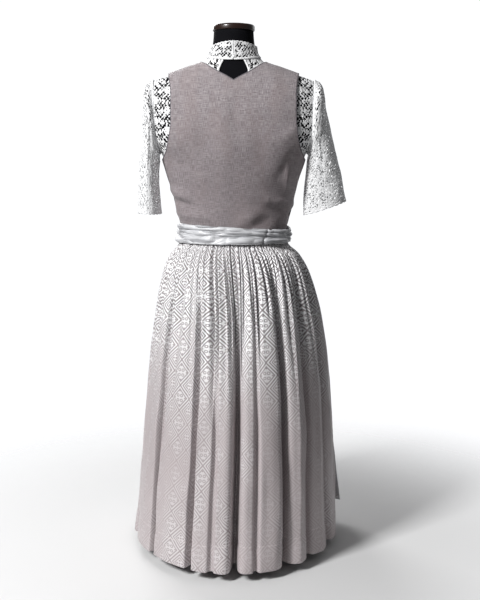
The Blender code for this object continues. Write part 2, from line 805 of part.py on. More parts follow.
def add_dome(name, seat, facing, radius, height, finish):
    """A round button: a low dome whose flat side lies on the seat."""
    facing = np.array(facing, float)
    facing /= np.linalg.norm(facing)
    across = np.cross([0.0, 0.0, 1.0], facing)
    across /= np.linalg.norm(across)
    over = np.cross(facing, across)
    bm = bmesh.new()
    rings = []
    for wide, lift in DOME_LEVELS:
        ring = []
        for i in range(DOME_SIDES):
            turn = 2 * math.pi * i / DOME_SIDES
            way = math.cos(turn) * across + math.sin(turn) * over
            ring.append(bm.verts.new(seat + radius * wide * way + height * lift * facing))
        rings.append(ring)
    for low, high in zip(rings, rings[1:]):
        for i in range(DOME_SIDES):
            n = (i + 1) % DOME_SIDES
            bm.faces.new([low[i], low[n], high[n], high[i]])
    bm.faces.new(list(reversed(rings[0])))
    bm.faces.new(rings[-1])
    shape = bpy.data.meshes.new(name)
    bm.to_mesh(shape)
    bm.free()
    add_object(name, shape, finish)


def sleeve_start(turn):
    """The sleeve's first ring follows the armhole seam, just outside the blouse."""
    top = ridge_rise(ARMSCYE[-1][1])
    low = ARMSCYE[0][0]
    rise = low + (top - low) * (1 + math.cos(turn)) / 2
    x = min(ARMSCYE_X(rise), BODY_SIDE(rise))
    facing = 1 if math.sin(turn) >= 0 else -1
    y = body_y(x, rise, facing)
    over = SHOULDER_SEAM_RISE * max(0.0, math.cos(turn)) ** 4
    if facing < 0:
        over += FRONT_SEAM_OUT * max(0.0, -math.cos(turn))
    point = moved_out(x, y, rise, BLOUSE_EASE + LACE_WALL * 0.5 + over)
    seam = SLEEVE_SEAM_DROP * (1 - math.cos(turn))
    return point + np.array([ARMSCYE_SEAM_OUT + LACE_WALL, 0.0, -seam])


def sleeve_ring(row, turn):
    under_x, under_rise, outer_x, outer_rise, half_depth = row
    along, across = oval(turn, 1.0, half_depth, SLEEVE_SQUARE)
    x = (under_x + outer_x) / 2 + (outer_x - under_x) / 2 * along
    rise = (under_rise + outer_rise) / 2 + (outer_rise - under_rise) / 2 * along
    return np.array([x, across, WAIST_Z + rise])


def build_sleeve(side_name, table, mirror_it):
    for half_name, start in (("back", 0.0), ("front", math.pi)):
        rows = []
        for level in range(len(table), -1, -1):
            row = []
            for i in range(SLEEVE_HALF_COLUMNS + 1):
                turn = start + math.pi * i / SLEEVE_HALF_COLUMNS
                point = sleeve_start(turn) if level == 0 else sleeve_ring(table[level - 1], turn)
                if abs(point[1]) < SEAM_GAP:
                    point[1] = SEAM_GAP if half_name == "back" else -SEAM_GAP
                row.append(point)
            rows.append(row)
        holes = set()
        for j in range(len(rows) - 2):
            for i in range(SLEEVE_HALF_COLUMNS):
                if (i + j) % SLEEVE_HOLE_STEP != 0 and wide_enough(rows, i, j):
                    holes.add((i, j))
        if mirror_it:
            rows = mirrored(rows)
        shape = grid(rows, flip=mirror_it, holes=holes)
        piece = add_object(f"sleeve_{side_name}_{half_name}", shape, "lace")
        add_solidify(piece, LACE_WALL)


def bodice_right_edge(drops):
    edge = []
    for drop in drops:
        rise = ridge_rise(BODICE_TIP_X) - drop
        if rise >= BODICE_ARMHOLE[0][0]:
            edge.append((min(ARMHOLE_X(rise), BODY_SIDE(rise)), rise))
        else:
            edge.append((BODY_SIDE(rise), max(rise, BODICE_BOTTOM)))
    return edge


def bodice_top():
    return [(x, ridge_rise(x)) for x in np.linspace(BODICE_NECK_X, BODICE_TIP_X,
                                                     BODICE_COLUMNS + 1)]


def bodice_bottom(first_x):
    side = BODY_SIDE(BODICE_BOTTOM)
    points = [(side * math.sin(0.5 * math.pi * i / BODICE_COLUMNS), BODICE_BOTTOM)
              for i in range(BODICE_COLUMNS + 1)]
    points[0] = (first_x, BODICE_BOTTOM)
    return points


def build_bodice():
    neck = (BODICE_NECK_X, ridge_rise(BODICE_NECK_X))
    left = []
    for share, centre, _drop in BODICE_BACK_ROWS:
        if share is not None:
            left.append((neck[0] * (1 - share), neck[1] + (V_POINT_RISE - neck[1]) * share))
        else:
            left.append((0.0, centre))
    right = bodice_right_edge([row[2] for row in BODICE_BACK_ROWS])
    rows = drape(patch(left, right, bodice_top(), bodice_bottom(0.0)), 1, BODICE_EASE,
                 NECK_LIFT)
    back = add_object("bodice_back", grid(rows), "linen")
    add_mirror(back)
    add_solidify(back, LINEN_WALL)

    left = list(FRONT_NECKLINE)
    left[0] = neck
    right = bodice_right_edge(FRONT_ROW_DROPS)
    rows = drape(patch(left, right, bodice_top(), bodice_bottom(FRONT_NECKLINE[-1][0])), -1,
                 BODICE_EASE, NECK_LIFT)
    front = add_object("bodice_front_left", grid(rows, flip=True), "linen")
    add_solidify(front, LINEN_WALL)
    front = add_object("bodice_front_right", grid(mirrored(rows)), "linen")
    add_solidify(front, LINEN_WALL)

    build_front_buttons(mirrored(rows))


def build_front_buttons(rows):
    """Buttons flat on the right front's first column of panels, along the closing edge."""
    x = -BUTTON_RADIUS - BUTTON_EDGE
    heights = [row[0][2] - WAIST_Z for row in rows]
    for i in range(BUTTON_COUNT):
        share = i / (BUTTON_COUNT - 1)
        rise = FIRST_BUTTON_RISE + (LAST_BUTTON_RISE - FIRST_BUTTON_RISE) * share
        j = max(k for k in range(len(heights) - 1) if heights[k] >= rise)
        down = (heights[j] - rise) / (heights[j] - heights[j + 1])
        edge = rows[j][0] + (rows[j + 1][0] - rows[j][0]) * down
        inner = rows[j][1] + (rows[j + 1][1] - rows[j][1]) * down
        spot = edge + (inner - edge) * (x - edge[0]) / (inner[0] - edge[0])
        facing = np.cross(rows[j + 1][0] - rows[j][0], edge - inner)
        facing *= -math.copysign(1.0, facing[1]) / np.linalg.norm(facing)
        seat = spot + facing * (LINEN_WALL + BUTTON_SEAT)
        add_dome(f"front_button_{i + 1}", seat, facing, BUTTON_RADIUS, BUTTON_HEIGHT,
                 "button_metal")


def fold_columns():
    """Each skirt column's angle at the hem, its share of a fold's depth, and that depth."""
    columns = []
    count = len(FOLDS)
    for k in range(count):
        angle, depth, half = FOLDS[k]
        next_angle, next_depth, next_half = FOLDS[(k + 1) % count]
        if k == count - 1:
            next_angle += 360.0
        for place, share, left in FOLD_PROFILE:
            if place == "valley":
                columns.append((angle + half * share, depth * left))
            elif place == "next":
                columns.append((next_angle - next_half * share, next_depth * left))
            else:
                start = angle + half
                end = next_angle - next_half
                mean = (depth + next_depth) / 2
                columns.append((start + (end - start) * share, mean * left))
    return columns


def skirt_section(row, angle, inward):
    side, back, front, shift = row[1:5]
    depth = back if math.sin(angle) >= 0 else front
    x = (side - inward) * math.cos(angle) + shift
    y = (depth - inward) * math.sin(angle)
    return np.array([x, y, 0.0])


def skirt_columns():
    """Hem angle, fold depth, waist angle and share of the cloth's width, for each column."""
    columns = fold_columns()
    hem = SKIRT_ROWS[-1]
    points = [skirt_section(hem, math.radians(a), d) for a, d in columns]
    lengths = [np.linalg.norm(points[(i + 1) % len(points)] - points[i])
               for i in range(len(points))]
    total = sum(lengths)
    shares = np.concatenate([[0.0], np.cumsum(lengths)[:-1]]) / total
    start = columns[0][0]
    return [(a, d, start + 360.0 * s, s) for (a, d), s in zip(columns, shares)]


def skirt_point(row, entry, out, softness=1.0):
    hem_angle, depth, waist_angle, share = entry
    drop, gather, opened, lean = row[0], row[5], row[6], row[7]
    angle = math.radians(waist_angle + (hem_angle - waist_angle) * lean)
    wave = 0.5 + 0.5 * math.cos(2 * math.pi * GATHER_COUNT * share)
    inward = (gather * wave + depth * opened) * softness - out
    point = skirt_section(row, angle, inward)
    point[2] = WAIST_Z - drop
    return point


def build_skirt():
    columns = skirt_columns()
    rows = [[skirt_point(row, entry, 0.0) for entry in columns] for row in reversed(SKIRT_ROWS)]
    skirt = add_object("skirt", grid(rows, closed=True), "damask")
    add_solidify(skirt, SKIRT_WALL)
    return columns


def build_apron(columns):
    per_fold = len(FOLD_PROFILE)
    chosen = columns[APRON_FIRST_FOLD * per_fold + 1:APRON_LAST_FOLD * per_fold]
    table = [list(row) for row in SKIRT_ROWS[1:]]
    table[0][0] += APRON_TOP_GAP
    last = table[-1]
    before = table[-2]
    share = (last[0] - APRON_SHORTER - before[0]) / (last[0] - before[0])
    table[-1] = [b + (a - b) * share for a, b in zip(last, before)]
    rows = []
    for row in reversed(table):
        fall = (row[0] - table[0][0]) / (table[-1][0] - table[0][0])
        points = []
        for i, entry in enumerate(chosen):
            near = max(0.0, 1.0 - i / APRON_FLARE_COLUMNS)
            flare = APRON_EDGE_FLARE * near * near * fall * fall
            points.append(skirt_point(row, entry, APRON_OUT + flare, APRON_SOFTNESS))
        rows.append(points)
    apron = add_object("apron", grid(rows), "apron_cloth")
    add_solidify(apron, APRON_WALL)


def build_tie_wrap():
    rows = []
    for j in range(len(TIE_ROWS) - 1, -1, -1):
        rise, ease = TIE_ROWS[j]
        row = []
        for i in range(TIE_SIDES):
            angle = 2 * math.pi * i / TIE_SIDES
            wave = math.sin(TIE_CREASE_WAVES * angle + TIE_CREASE_STEP * j)
            crease = TIE_CREASE * (1 + wave)
            row.append(body_ring_point(angle, rise, ease + crease))
        rows.append(row)
    wrap = add_object("tie_wrap", grid(rows, closed=True), "satin")
    add_solidify(wrap, SATIN_WALL)


def front_envelope(rise, x):
    """The y of the skirt's front crests at a height, at a distance x from the middle."""
    drops = [row[0] for row in SKIRT_ROWS]
    sides = Curve(drops, [row[1] for row in SKIRT_ROWS])
    fronts = Curve(drops, [row[3] for row in SKIRT_ROWS])
    drop = -rise
    reach = max(0.0, 1.0 - (x / sides(drop)) ** 2)
    return -fronts(drop) * math.sqrt(reach)


def build_knot(face):
    width, depth, height = KNOT_SIZE
    bm = bmesh.new()
    bmesh.ops.create_cube(bm, size=1.0)
    for vert in bm.verts:
        at_back = vert.co.y > 0
        vert.co.x *= width * (KNOT_BACK_WIDTH if at_back else KNOT_FRONT_WIDTH)
        vert.co.z *= height * (1.0 if at_back else KNOT_FRONT_HEIGHT)
        vert.co.y *= depth
    shape = bpy.data.meshes.new("knot")
    bm.to_mesh(shape)
    bm.free()
    knot = add_object("bow_knot", shape, "satin")
    knot.location = (0.0, face - depth / 2, WAIST_Z + KNOT_RISE)
    round_off = knot.modifiers.new("soft edges", "BEVEL")
    round_off.width = KNOT_EDGE
    round_off.segments = 2


def build_bow_loop(name, sign, middle):
    """A flat closed loop that lies on the apron's gathers."""
    bm = bmesh.new()
    rings = []
    for place, half, thick, sag in LOOP_STATIONS:
        x = sign * (LOOP_START + LOOP_LENGTH * place)
        lowest = KNOT_RISE + sag - half
        rest = front_envelope(lowest, abs(x)) - APRON_OUT - APRON_WALL - thick - LOOP_CLEAR
        back = min(rest, middle + LOOP_TURN * place)
        ring = []
        for step in range(LOOP_SIDES):
            turn = 2 * math.pi * step / LOOP_SIDES
            y = back + thick * math.cos(turn)
            z = WAIST_Z + KNOT_RISE + sag + half * math.sin(turn)
            ring.append(bm.verts.new((x, y, z)))
        rings.append(ring)
    for low, high in zip(rings, rings[1:]):
        for i in range(LOOP_SIDES):
            n = (i + 1) % LOOP_SIDES
            bm.faces.new([low[i], low[n], high[n], high[i]])
    bm.faces.new(rings[0])
    bm.faces.new(list(reversed(rings[-1])))
    bmesh.ops.recalc_face_normals(bm, faces=bm.faces)
    shape = bpy.data.meshes.new("loop")
    bm.to_mesh(shape)
    bm.free()
    add_object(f"bow_loop_{name}", shape, "satin")


def build_tie_tail(name, sign):
    """A tie's end that hangs from the knot over the apron."""
    top = KNOT_RISE - KNOT_SIZE[2] / 2 + TAIL_LIFT
    rows = []
    for j in range(TAIL_ROWS, -1, -1):
        t = j / TAIL_ROWS
        rise = top - TAIL_LENGTH * t
        centre = sign * (TAIL_START + TAIL_SPREAD * t)
        half = TAIL_WIDTH / 2 * min(1.0, TAIL_PINCH + TAIL_OPENING * t)
        row = []
        for i in range(3):
            x = centre + half * (i - 1)
            ripple = TAIL_RIPPLE * math.sin(TAIL_RIPPLE_TURN * t + TAIL_RIPPLE_STEP * i)
            out = TAIL_OUT + TAIL_KNOT_OUT * max(0.0, 1.0 - TAIL_KNOT_RUN * t) + ripple
            row.append(np.array([x, front_envelope(rise, x) - out, WAIST_Z + rise]))
        rows.append(row)
    tail = add_object(f"tie_tail_{name}", grid(rows), "satin")
    add_solidify(tail, APRON_WALL)


def build_bow():
    """Knot, two flat loops and two tails at the centre front."""
    front = body_ring_point(1.5 * math.pi, KNOT_RISE, 0.0)[1]
    face = front - TIE_ROWS[2][1] - 2 * TIE_CREASE - SATIN_WALL - KNOT_CLEAR
    build_knot(face)
    for name, sign in (("left", 1), ("right", -1)):
        build_bow_loop(name, sign, face - KNOT_SIZE[1] * LOOP_KNOT_SHARE)
        build_tie_tail(name, sign)


remove_all_objects()
PARTS = make_collection("dirndl")
MATERIALS = {name: make_material(name) for name in COLORS}
build_form()
build_stand()
build_blouse()
build_collar()
build_sleeve("left", SLEEVE_LEFT, False)
build_sleeve("right", SLEEVE_RIGHT, True)
build_bodice()
build_apron(build_skirt())
build_tie_wrap()
build_bow()
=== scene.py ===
# %% [markdown]
# # A dirndl on a dress form
# The clothes hang on a black limbless form, seen from the back: a lace blouse, a taupe linen
# bodice, a gathered damask skirt, and an apron whose satin ties are wrapped round the waist.
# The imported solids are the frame. Every cloth piece here is a finer sheet made from the same
# section tables as its solid, so it lies where the solid lies.

# %% Load the frame
import functools
import math

import bpy
import numpy as np
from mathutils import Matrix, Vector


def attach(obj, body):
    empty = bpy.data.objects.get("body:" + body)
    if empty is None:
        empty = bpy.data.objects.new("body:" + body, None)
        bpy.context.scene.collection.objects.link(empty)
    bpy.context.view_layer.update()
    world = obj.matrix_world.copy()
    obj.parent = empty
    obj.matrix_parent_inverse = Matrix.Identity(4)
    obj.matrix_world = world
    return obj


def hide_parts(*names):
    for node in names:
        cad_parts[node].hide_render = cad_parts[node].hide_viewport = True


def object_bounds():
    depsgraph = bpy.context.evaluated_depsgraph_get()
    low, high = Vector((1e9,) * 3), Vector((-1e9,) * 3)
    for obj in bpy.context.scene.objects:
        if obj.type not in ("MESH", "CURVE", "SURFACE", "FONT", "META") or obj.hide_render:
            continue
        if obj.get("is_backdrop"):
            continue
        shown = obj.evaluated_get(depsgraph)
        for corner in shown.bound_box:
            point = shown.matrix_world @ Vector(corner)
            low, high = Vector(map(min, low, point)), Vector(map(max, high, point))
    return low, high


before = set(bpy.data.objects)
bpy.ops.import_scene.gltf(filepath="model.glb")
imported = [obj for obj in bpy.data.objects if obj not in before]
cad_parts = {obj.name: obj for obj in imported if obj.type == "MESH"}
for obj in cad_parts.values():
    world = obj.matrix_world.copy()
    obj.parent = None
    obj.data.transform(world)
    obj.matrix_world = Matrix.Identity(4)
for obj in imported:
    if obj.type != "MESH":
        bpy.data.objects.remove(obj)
CAD_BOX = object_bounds()
BODY_NAME = "root"
print("nodes in the frame:", len(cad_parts))

# %% [markdown]
# ## Camera
# The photograph was taken from about 2.2 m behind the form, a little above its middle and
# tilted down. Azimuth is fixed by the picture, so the camera is three plain numbers and a lens.

# %% Camera
PICTURE_HEIGHT_PX = 600
FOCAL_LENGTH_PX = 957.0
SENSOR_MM = 36.0
CAMERA_PLACE = (-0.014, 2.2, 0.89)
CAMERA_TILT_DOWN = math.radians(8.4)

camera_data = bpy.data.cameras.new("camera")
camera_data.sensor_width = SENSOR_MM
camera_data.lens = FOCAL_LENGTH_PX / PICTURE_HEIGHT_PX * SENSOR_MM
camera = bpy.data.objects.new("camera", camera_data)
camera.location = CAMERA_PLACE
camera.rotation_euler = (math.pi / 2 - CAMERA_TILT_DOWN, 0.0, math.pi)
bpy.context.scene.collection.objects.link(camera)
bpy.context.scene.camera = camera
print("lens:", round(camera_data.lens, 1), "mm")

# %% [markdown]
# ## Light
# The picture was lit by a soft window high on its left, which is the wearer's left, so
# the right side of the skirt and bodice lies in shade. One area lamp does the same, and two
# weak ones open the front, which the photograph doesn't show. The sky lights the form as a dim
# grey, so that the shade stays deep, except for a white part behind the form. The camera itself
# always sees it white. `Standard` view keeps whites white, as the photograph's are.

# %% Lights
LIGHTS = [
    # name, place, aimed at, width, height, power
    ("window", (2.15, 2.15, 2.6), (0.0, 0.0, 0.75), 0.7, 1.1, 146.0),
    ("front_left", (1.2, -2.8, 2.2), (0.0, 0.0, 0.75), 1.6, 1.6, 60.0),
    ("front_right", (-2.0, -2.4, 1.8), (0.0, 0.0, 0.75), 1.6, 1.6, 7.0),
]
SKY_DIM = 0.13
SKY_WHITE = 1.05
SKY_COLOR = (0.98, 0.985, 1.0, 1.0)
WHITE_WAY = (0.0, -0.989, -0.146)
WHITE_FROM, WHITE_TO = 0.78, 0.915


def aim(thing, target):
    """Turn a lamp so that its -Z axis points at the target."""
    way = np.array(target) - np.array(thing.location)
    thing.rotation_euler = (math.acos(-way[2] / np.linalg.norm(way)), 0.0,
                            math.atan2(way[1], way[0]) - math.pi / 2)


for name, place, target, width, height, power in LIGHTS:
    lamp = bpy.data.lights.new(name, "AREA")
    lamp.shape = "RECTANGLE"
    lamp.size = width
    lamp.size_y = height
    lamp.energy = power
    holder = bpy.data.objects.new(name, lamp)
    holder.location = place
    aim(holder, target)
    bpy.context.scene.collection.objects.link(holder)

world = bpy.data.worlds.new("studio")
world.use_nodes = True
sky = world.node_tree
way, towards, brightness, seen, either = (sky.nodes.new("ShaderNode" + kind) for kind in (
    "TexCoord", "VectorMath", "MapRange", "LightPath", "Math"))
background = sky.nodes["Background"]
towards.operation = "DOT_PRODUCT"
towards.inputs[1].default_value = WHITE_WAY
brightness.interpolation_type = "SMOOTHSTEP"
either.operation = "MAXIMUM"
background.inputs["Color"].default_value = SKY_COLOR
for word, number in (("From Min", WHITE_FROM), ("From Max", WHITE_TO), ("To Min", SKY_DIM),
                     ("To Max", SKY_WHITE)):
    brightness.inputs[word].default_value = number
for start, end in ((way.outputs["Generated"], towards.inputs[0]),
                   (towards.outputs["Value"], brightness.inputs["Value"]),
                   (seen.outputs["Is Camera Ray"], either.inputs[0]),
                   (brightness.outputs["Result"], either.inputs[1]),
                   (either.outputs[0], background.inputs["Strength"])):
    sky.links.new(start, end)
bpy.context.scene.world = world
bpy.context.scene.view_settings.view_transform = "Standard"
print("lamps:", len(LIGHTS))

# %% [markdown]
# ## Shader maths in plain Python
# A pattern such as a woven lattice is arithmetic on the cloth's own coordinates. `Value` wraps
# a socket, so that `abs((u / 0.044).fract() - 0.5)` adds the Math nodes that it stands for. The
# words that are one Math node each are listed in `MATH_WORDS`.
# `Finish` is one material, with one method that adds any other node.

# %% Values and finishes
class Value:
    """A node's output that Python's operators work on."""

    def __init__(self, finish, socket):
        self.finish = finish
        self.socket = socket

    def math(self, operation, *others):
        node = self.finish.tree.nodes.new("ShaderNodeMath")
        node.operation = operation
        for place, operand in zip(node.inputs, (self,) + others):
            self.finish.feed(place, operand)
        return Value(self.finish, node.outputs[0])

    def __rsub__(self, other):
        return (self * -1.0).math("ADD", other)

    def reach(self, other):
        """Length of the arrow (self, other)."""
        return (self * self + other * other).math("SQRT")

    def step_down(self, edge, soft):
        """1 below the edge, 0 above it, with a soft change between."""
        return self.finish.node("ShaderNodeMapRange", {"interpolation_type": "SMOOTHSTEP"},
                                {"Value": self, "From Min": edge - soft, "From Max": edge + soft,
                                 "To Min": 1.0, "To Max": 0.0})

    def step_up(self, edge, soft):
        return 1.0 - self.step_down(edge, soft)


MATH_WORDS = {
    "__add__": "ADD", "__radd__": "ADD", "__sub__": "SUBTRACT", "__mul__": "MULTIPLY",
    "__rmul__": "MULTIPLY", "__truediv__": "DIVIDE", "__abs__": "ABSOLUTE", "fract": "FRACT",
    "sin": "SINE", "least": "MINIMUM", "most": "MAXIMUM",
}
for word, operation in MATH_WORDS.items():
    setattr(Value, word, functools.partialmethod(Value.math, operation))
print("words for sockets:", ", ".join(MATH_WORDS))


class Finish:
    """One material: its nodes, its shader and the cloth coordinates u and v in metres."""

    def __init__(self, name, color, roughness, **constants):
        self.material = bpy.data.materials.new(name)
        self.material.use_nodes = True
        self.tree = self.material.node_tree
        self.shader = self.tree.nodes["Principled BSDF"]
        self.shader.inputs["Base Color"].default_value = (*color, 1.0)
        self.shader.inputs["Roughness"].default_value = roughness
        for words, constant in constants.items():
            self.shader.inputs[words.replace("_", " ")].default_value = constant

    def feed(self, place, operand):
        if isinstance(operand, Value):
            self.tree.links.new(operand.socket, place)
        else:
            place.default_value = operand

    def node(self, kind, settings=None, inputs=None, output=0):
        made = self.tree.nodes.new(kind)
        for word, setting in (settings or {}).items():
            setattr(made, word, setting)
        for word, operand in (inputs or {}).items():
            self.feed(made.inputs[word], operand)
        return Value(self, made.outputs[output])

    def axes(self, where):
        """The x, y and z of a place, each as a value of its own."""
        split = self.tree.nodes.new("ShaderNodeSeparateXYZ")
        self.feed(split.inputs[0], where)
        return [Value(self, socket) for socket in split.outputs]

    def cloth_axes(self):
        """The sheet's own coordinates: u across and v along, in metres."""
        return self.axes(self.node("ShaderNodeUVMap", {"uv_map": "cloth"}))[:2]

    def place(self):
        """Where a point lies on the object, in metres."""
        return self.node("ShaderNodeTexCoord", output=3)

    def point(self, x, y, z=0.0):
        return self.node("ShaderNodeCombineXYZ", {}, {"X": x, "Y": y, "Z": z})

    def noise(self, where, scale, detail=2.0, rough=0.5):
        return self.node("ShaderNodeTexNoise", {}, {"Vector": where, "Scale": scale,
                                                    "Detail": detail, "Roughness": rough})

    def patches(self, x, y, detail, z=0.0, rough=0.5):
        """Noise with about one patch for each unit of x and y. Another z gives other patches."""
        return self.noise(self.point(x, y, z), 1.0, detail, rough)

    def blend(self, mask, first, second):
        """first where the mask is 0, second where it is 1, for colours."""
        made = self.tree.nodes.new("ShaderNodeMix")
        made.data_type = "RGBA"
        self.feed(made.inputs[0], mask)
        for place, color in ((made.inputs[6], first), (made.inputs[7], second)):
            self.feed(place, color if isinstance(color, Value) else (*color, 1.0))
        return Value(self, made.outputs[2])

    def bump(self, height, distance, strength=1.0):
        normal = self.node("ShaderNodeBump", {}, {"Height": height, "Distance": distance,
                                                  "Strength": strength})
        self.feed(self.shader.inputs["Normal"], normal)

    def wear(self, word, value):
        """Link a value to one of the shader's sockets."""
        self.feed(self.shader.inputs[word], value)


# %% [markdown]
# ## From numbers to meshes
# A cloth sheet is rows and columns of points, and its flat size is kept in a UV map named
# "cloth", in metres. Arrays give a hundred thousand points in a moment, and the same arrays
# can be cut, thickened and measured.

# %% Mesh helpers
def add_mesh(name, points, faces, corner_uv, finish):
    """A piece from arrays: points, faces of corner numbers, and cloth coordinates by corner."""
    shape = bpy.data.meshes.new(name)
    shape.from_pydata(np.asarray(points).tolist(), [], np.asarray(faces).tolist())
    flat = shape.uv_layers.new(name="cloth")
    flat.data.foreach_set("uv", np.asarray(corner_uv, float).ravel())
    shape.materials.append(finish.material)
    shape.shade_smooth()
    piece = bpy.data.objects.new(name, shape)
    bpy.context.scene.collection.objects.link(piece)
    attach(piece, BODY_NAME)
    return piece


def grid_faces(rows, columns, closed):
    """Corner numbers of a grid's quads, and the same for its cloth coordinates."""
    across = columns if closed else columns - 1
    j, i = np.meshgrid(np.arange(rows - 1), np.arange(across), indexing="ij")
    n = (i + 1) % columns
    faces = np.stack([j * columns + i, j * columns + n,
                      (j + 1) * columns + n, (j + 1) * columns + i], -1).reshape(-1, 4)
    wide = columns + 1 if closed else columns
    flats = np.stack([j * wide + i, j * wide + i + 1,
                      (j + 1) * wide + i + 1, (j + 1) * wide + i], -1).reshape(-1, 4)
    return faces, flats


def add_grid(name, points, flat, finish, closed=False, flip=False):
    """A sheet from a grid of points. A closed one has one more column of cloth coordinates."""
    rows, columns = points.shape[:2]
    faces, flats = grid_faces(rows, columns, closed)
    if flip:
        faces, flats = faces[:, ::-1], flats[:, ::-1]
    corner_uv = flat.reshape(-1, 2)[flats.ravel()]
    return add_mesh(name, points.reshape(-1, 3), faces, corner_uv, finish)


def thicken(piece, thickness):
    """Give a sheet a wall on its outer side."""
    wall = piece.modifiers.new("wall", "SOLIDIFY")
    wall.thickness = thickness
    wall.offset = 1.0


def flat_grid(across, along):
    """Cloth coordinates of a grid from its columns' and rows' own places."""
    u, v = np.meshgrid(across, along)
    return np.stack([u, v], -1)


def flat_ring(width, count, along):
    """The same for a closed ring of so many columns, as wide as the cloth round it."""
    return flat_grid(np.linspace(0.0, width, count + 1), along)


def full_turn(count):
    """Evenly spaced angles of one turn."""
    return np.linspace(0.0, 2 * math.pi, count, endpoint=False)


def length_along(points, axis=0):
    """Length of each row's or column's path from its first point."""
    steps = np.linalg.norm(np.diff(points, axis=axis), axis=-1)
    return np.concatenate([np.take(steps, [0], axis) * 0.0, np.cumsum(steps, axis)], axis)


def unit(arrows):
    return arrows / np.maximum(np.linalg.norm(arrows, axis=-1, keepdims=True), 1e-12)


def grid_normals(points, closed=False):
    """Outward directions of a grid's points."""
    if closed:
        across = np.roll(points, -1, 1) - np.roll(points, 1, 1)
    else:
        across = np.gradient(points, axis=1)
    return unit(np.cross(across, np.gradient(points, axis=0)))


HILLS = 64
MIRROR = np.array([-1.0, 1.0, 1.0])


def value_noise(u, v, seed, wrap=HILLS):
    """Smooth random heights from -1 to 1, one hill for each unit of u and v. They repeat after
    `wrap` units of u, so that a closed ring has no jump."""
    table = np.random.default_rng(seed).uniform(-1.0, 1.0, (HILLS, HILLS))
    a, b = np.floor(u).astype(int), np.floor(v).astype(int)
    s, t = u - a, v - b
    s, t = s * s * (3 - 2 * s), t * t * (3 - 2 * t)
    left, right = a % wrap % HILLS, (a + 1) % wrap % HILLS
    low, high = (table[row % HILLS, left] * (1 - s) + table[row % HILLS, right] * s
                 for row in (b, b + 1))
    return low * (1 - t) + high * t


def smooth(x, low, high):
    t = np.clip((x - low) / (high - low), 0.0, 1.0)
    return t * t * (3 - 2 * t)


# %% [markdown]
# ## The form under the clothes
# Clothes take their shape from the body below, so the form's horizontal sections come first.
# They are the same ones that the solids were made from: half width, two depths and how boxy
# the section is. `Curve` joins the table's rows smoothly without overshoot.

# %% Body sections
HEM_Z = 0.020
SKIRT_LENGTH = 0.710
WAIST_Z = HEM_Z + SKIRT_LENGTH
SEAM_GAP = 0.0003
NECK_TOP = 0.441
FORM_BOTTOM = -0.235
FORM_TRIM = -0.0009
BODY = [
    # rise, side, back, front, square
    (-0.235, 0.1150, 0.0800, 0.0760, 2.0),
    (-0.215, 0.1400, 0.0980, 0.0940, 2.1),
    (-0.150, 0.1520, 0.1080, 0.1010, 2.1),
    (-0.090, 0.1370, 0.0990, 0.0960, 2.1),
    (-0.030, 0.1175, 0.0850, 0.0870, 2.0),
    (0.000, 0.1146, 0.0830, 0.0860, 2.0),
    (0.053, 0.1260, 0.0848, 0.0908, 2.0),
    (0.094, 0.1360, 0.0880, 0.0995, 2.0),
    (0.120, 0.1440, 0.0910, 0.1105, 2.1),
    (0.157, 0.1555, 0.0945, 0.1240, 2.2),
    (0.175, 0.1635, 0.0960, 0.1230, 2.3),
    (0.195, 0.1795, 0.0960, 0.1150, 2.4),
    (0.215, 0.1895, 0.0950, 0.1070, 2.5),
    (0.255, 0.1955, 0.0910, 0.0970, 2.5),
    (0.290, 0.1955, 0.0830, 0.0860, 2.5),
    (0.310, 0.1925, 0.0760, 0.0800, 2.4),
    (0.322, 0.1860, 0.0710, 0.0750, 2.3),
    (0.3317, 0.1750, 0.0670, 0.0700, 2.2),
    (0.3415, 0.1480, 0.0620, 0.0650, 2.2),
    (0.355, 0.1095, 0.0570, 0.0600, 2.2),
    (0.368, 0.0720, 0.0520, 0.0550, 2.1),
    (0.384, 0.0565, 0.0490, 0.0510, 2.0),
    (0.400, 0.0505, 0.0475, 0.0490, 2.0),
    (0.420, 0.0470, 0.0465, 0.0480, 2.0),
    (0.441, 0.0455, 0.0455, 0.0470, 2.0),
]


class Curve:
    """A smooth curve through a table's points that never overshoots them."""

    def __init__(self, places, values):
        self.places = np.asarray(places, float)
        self.values = np.asarray(values, float)
        self.steps = np.diff(self.places)
        slopes = np.diff(self.values) / self.steps
        self.tangents = np.zeros(len(self.values))
        self.tangents[0] = slopes[0]
        self.tangents[-1] = slopes[-1]
        for i in range(1, len(slopes)):
            if slopes[i - 1] * slopes[i] > 0:
                before = 2 * self.steps[i] + self.steps[i - 1]
                after = self.steps[i] + 2 * self.steps[i - 1]
                self.tangents[i] = (before + after) / (before / slopes[i - 1] + after / slopes[i])

    def __call__(self, place):
        place = np.clip(place, self.places[0], self.places[-1])
        i = np.clip(np.searchsorted(self.places, place, side="right") - 1, 0, len(self.steps) - 1)
        h = self.steps[i]
        t = (place - self.places[i]) / h
        return ((1 + 2 * t) * (1 - t) ** 2 * self.values[i]
                + t * (1 - t) ** 2 * h * self.tangents[i]
                + t * t * (3 - 2 * t) * self.values[i + 1]
                + t * t * (t - 1) * h * self.tangents[i + 1])


def column(table, key, value):
    return Curve([row[key] for row in table], [row[value] for row in table])


BODY_SIDE, BODY_BACK, BODY_FRONT, BODY_SQUARE = (column(BODY, 0, k) for k in (1, 2, 3, 4))
RIDGE_RISES = np.linspace(0.290, NECK_TOP, 1200)
RIDGE_SIDES = BODY_SIDE(RIDGE_RISES)
print("waist:", round(2 * float(BODY_SIDE(0.0)), 3), "m wide")


def ridge_rise(x):
    """Height of the shoulder line at a distance x from the middle."""
    return np.interp(x, RIDGE_SIDES[::-1], RIDGE_RISES[::-1])


def body_depth(rise, facing):
    return np.where(np.asarray(facing) > 0, BODY_BACK(rise), BODY_FRONT(rise))


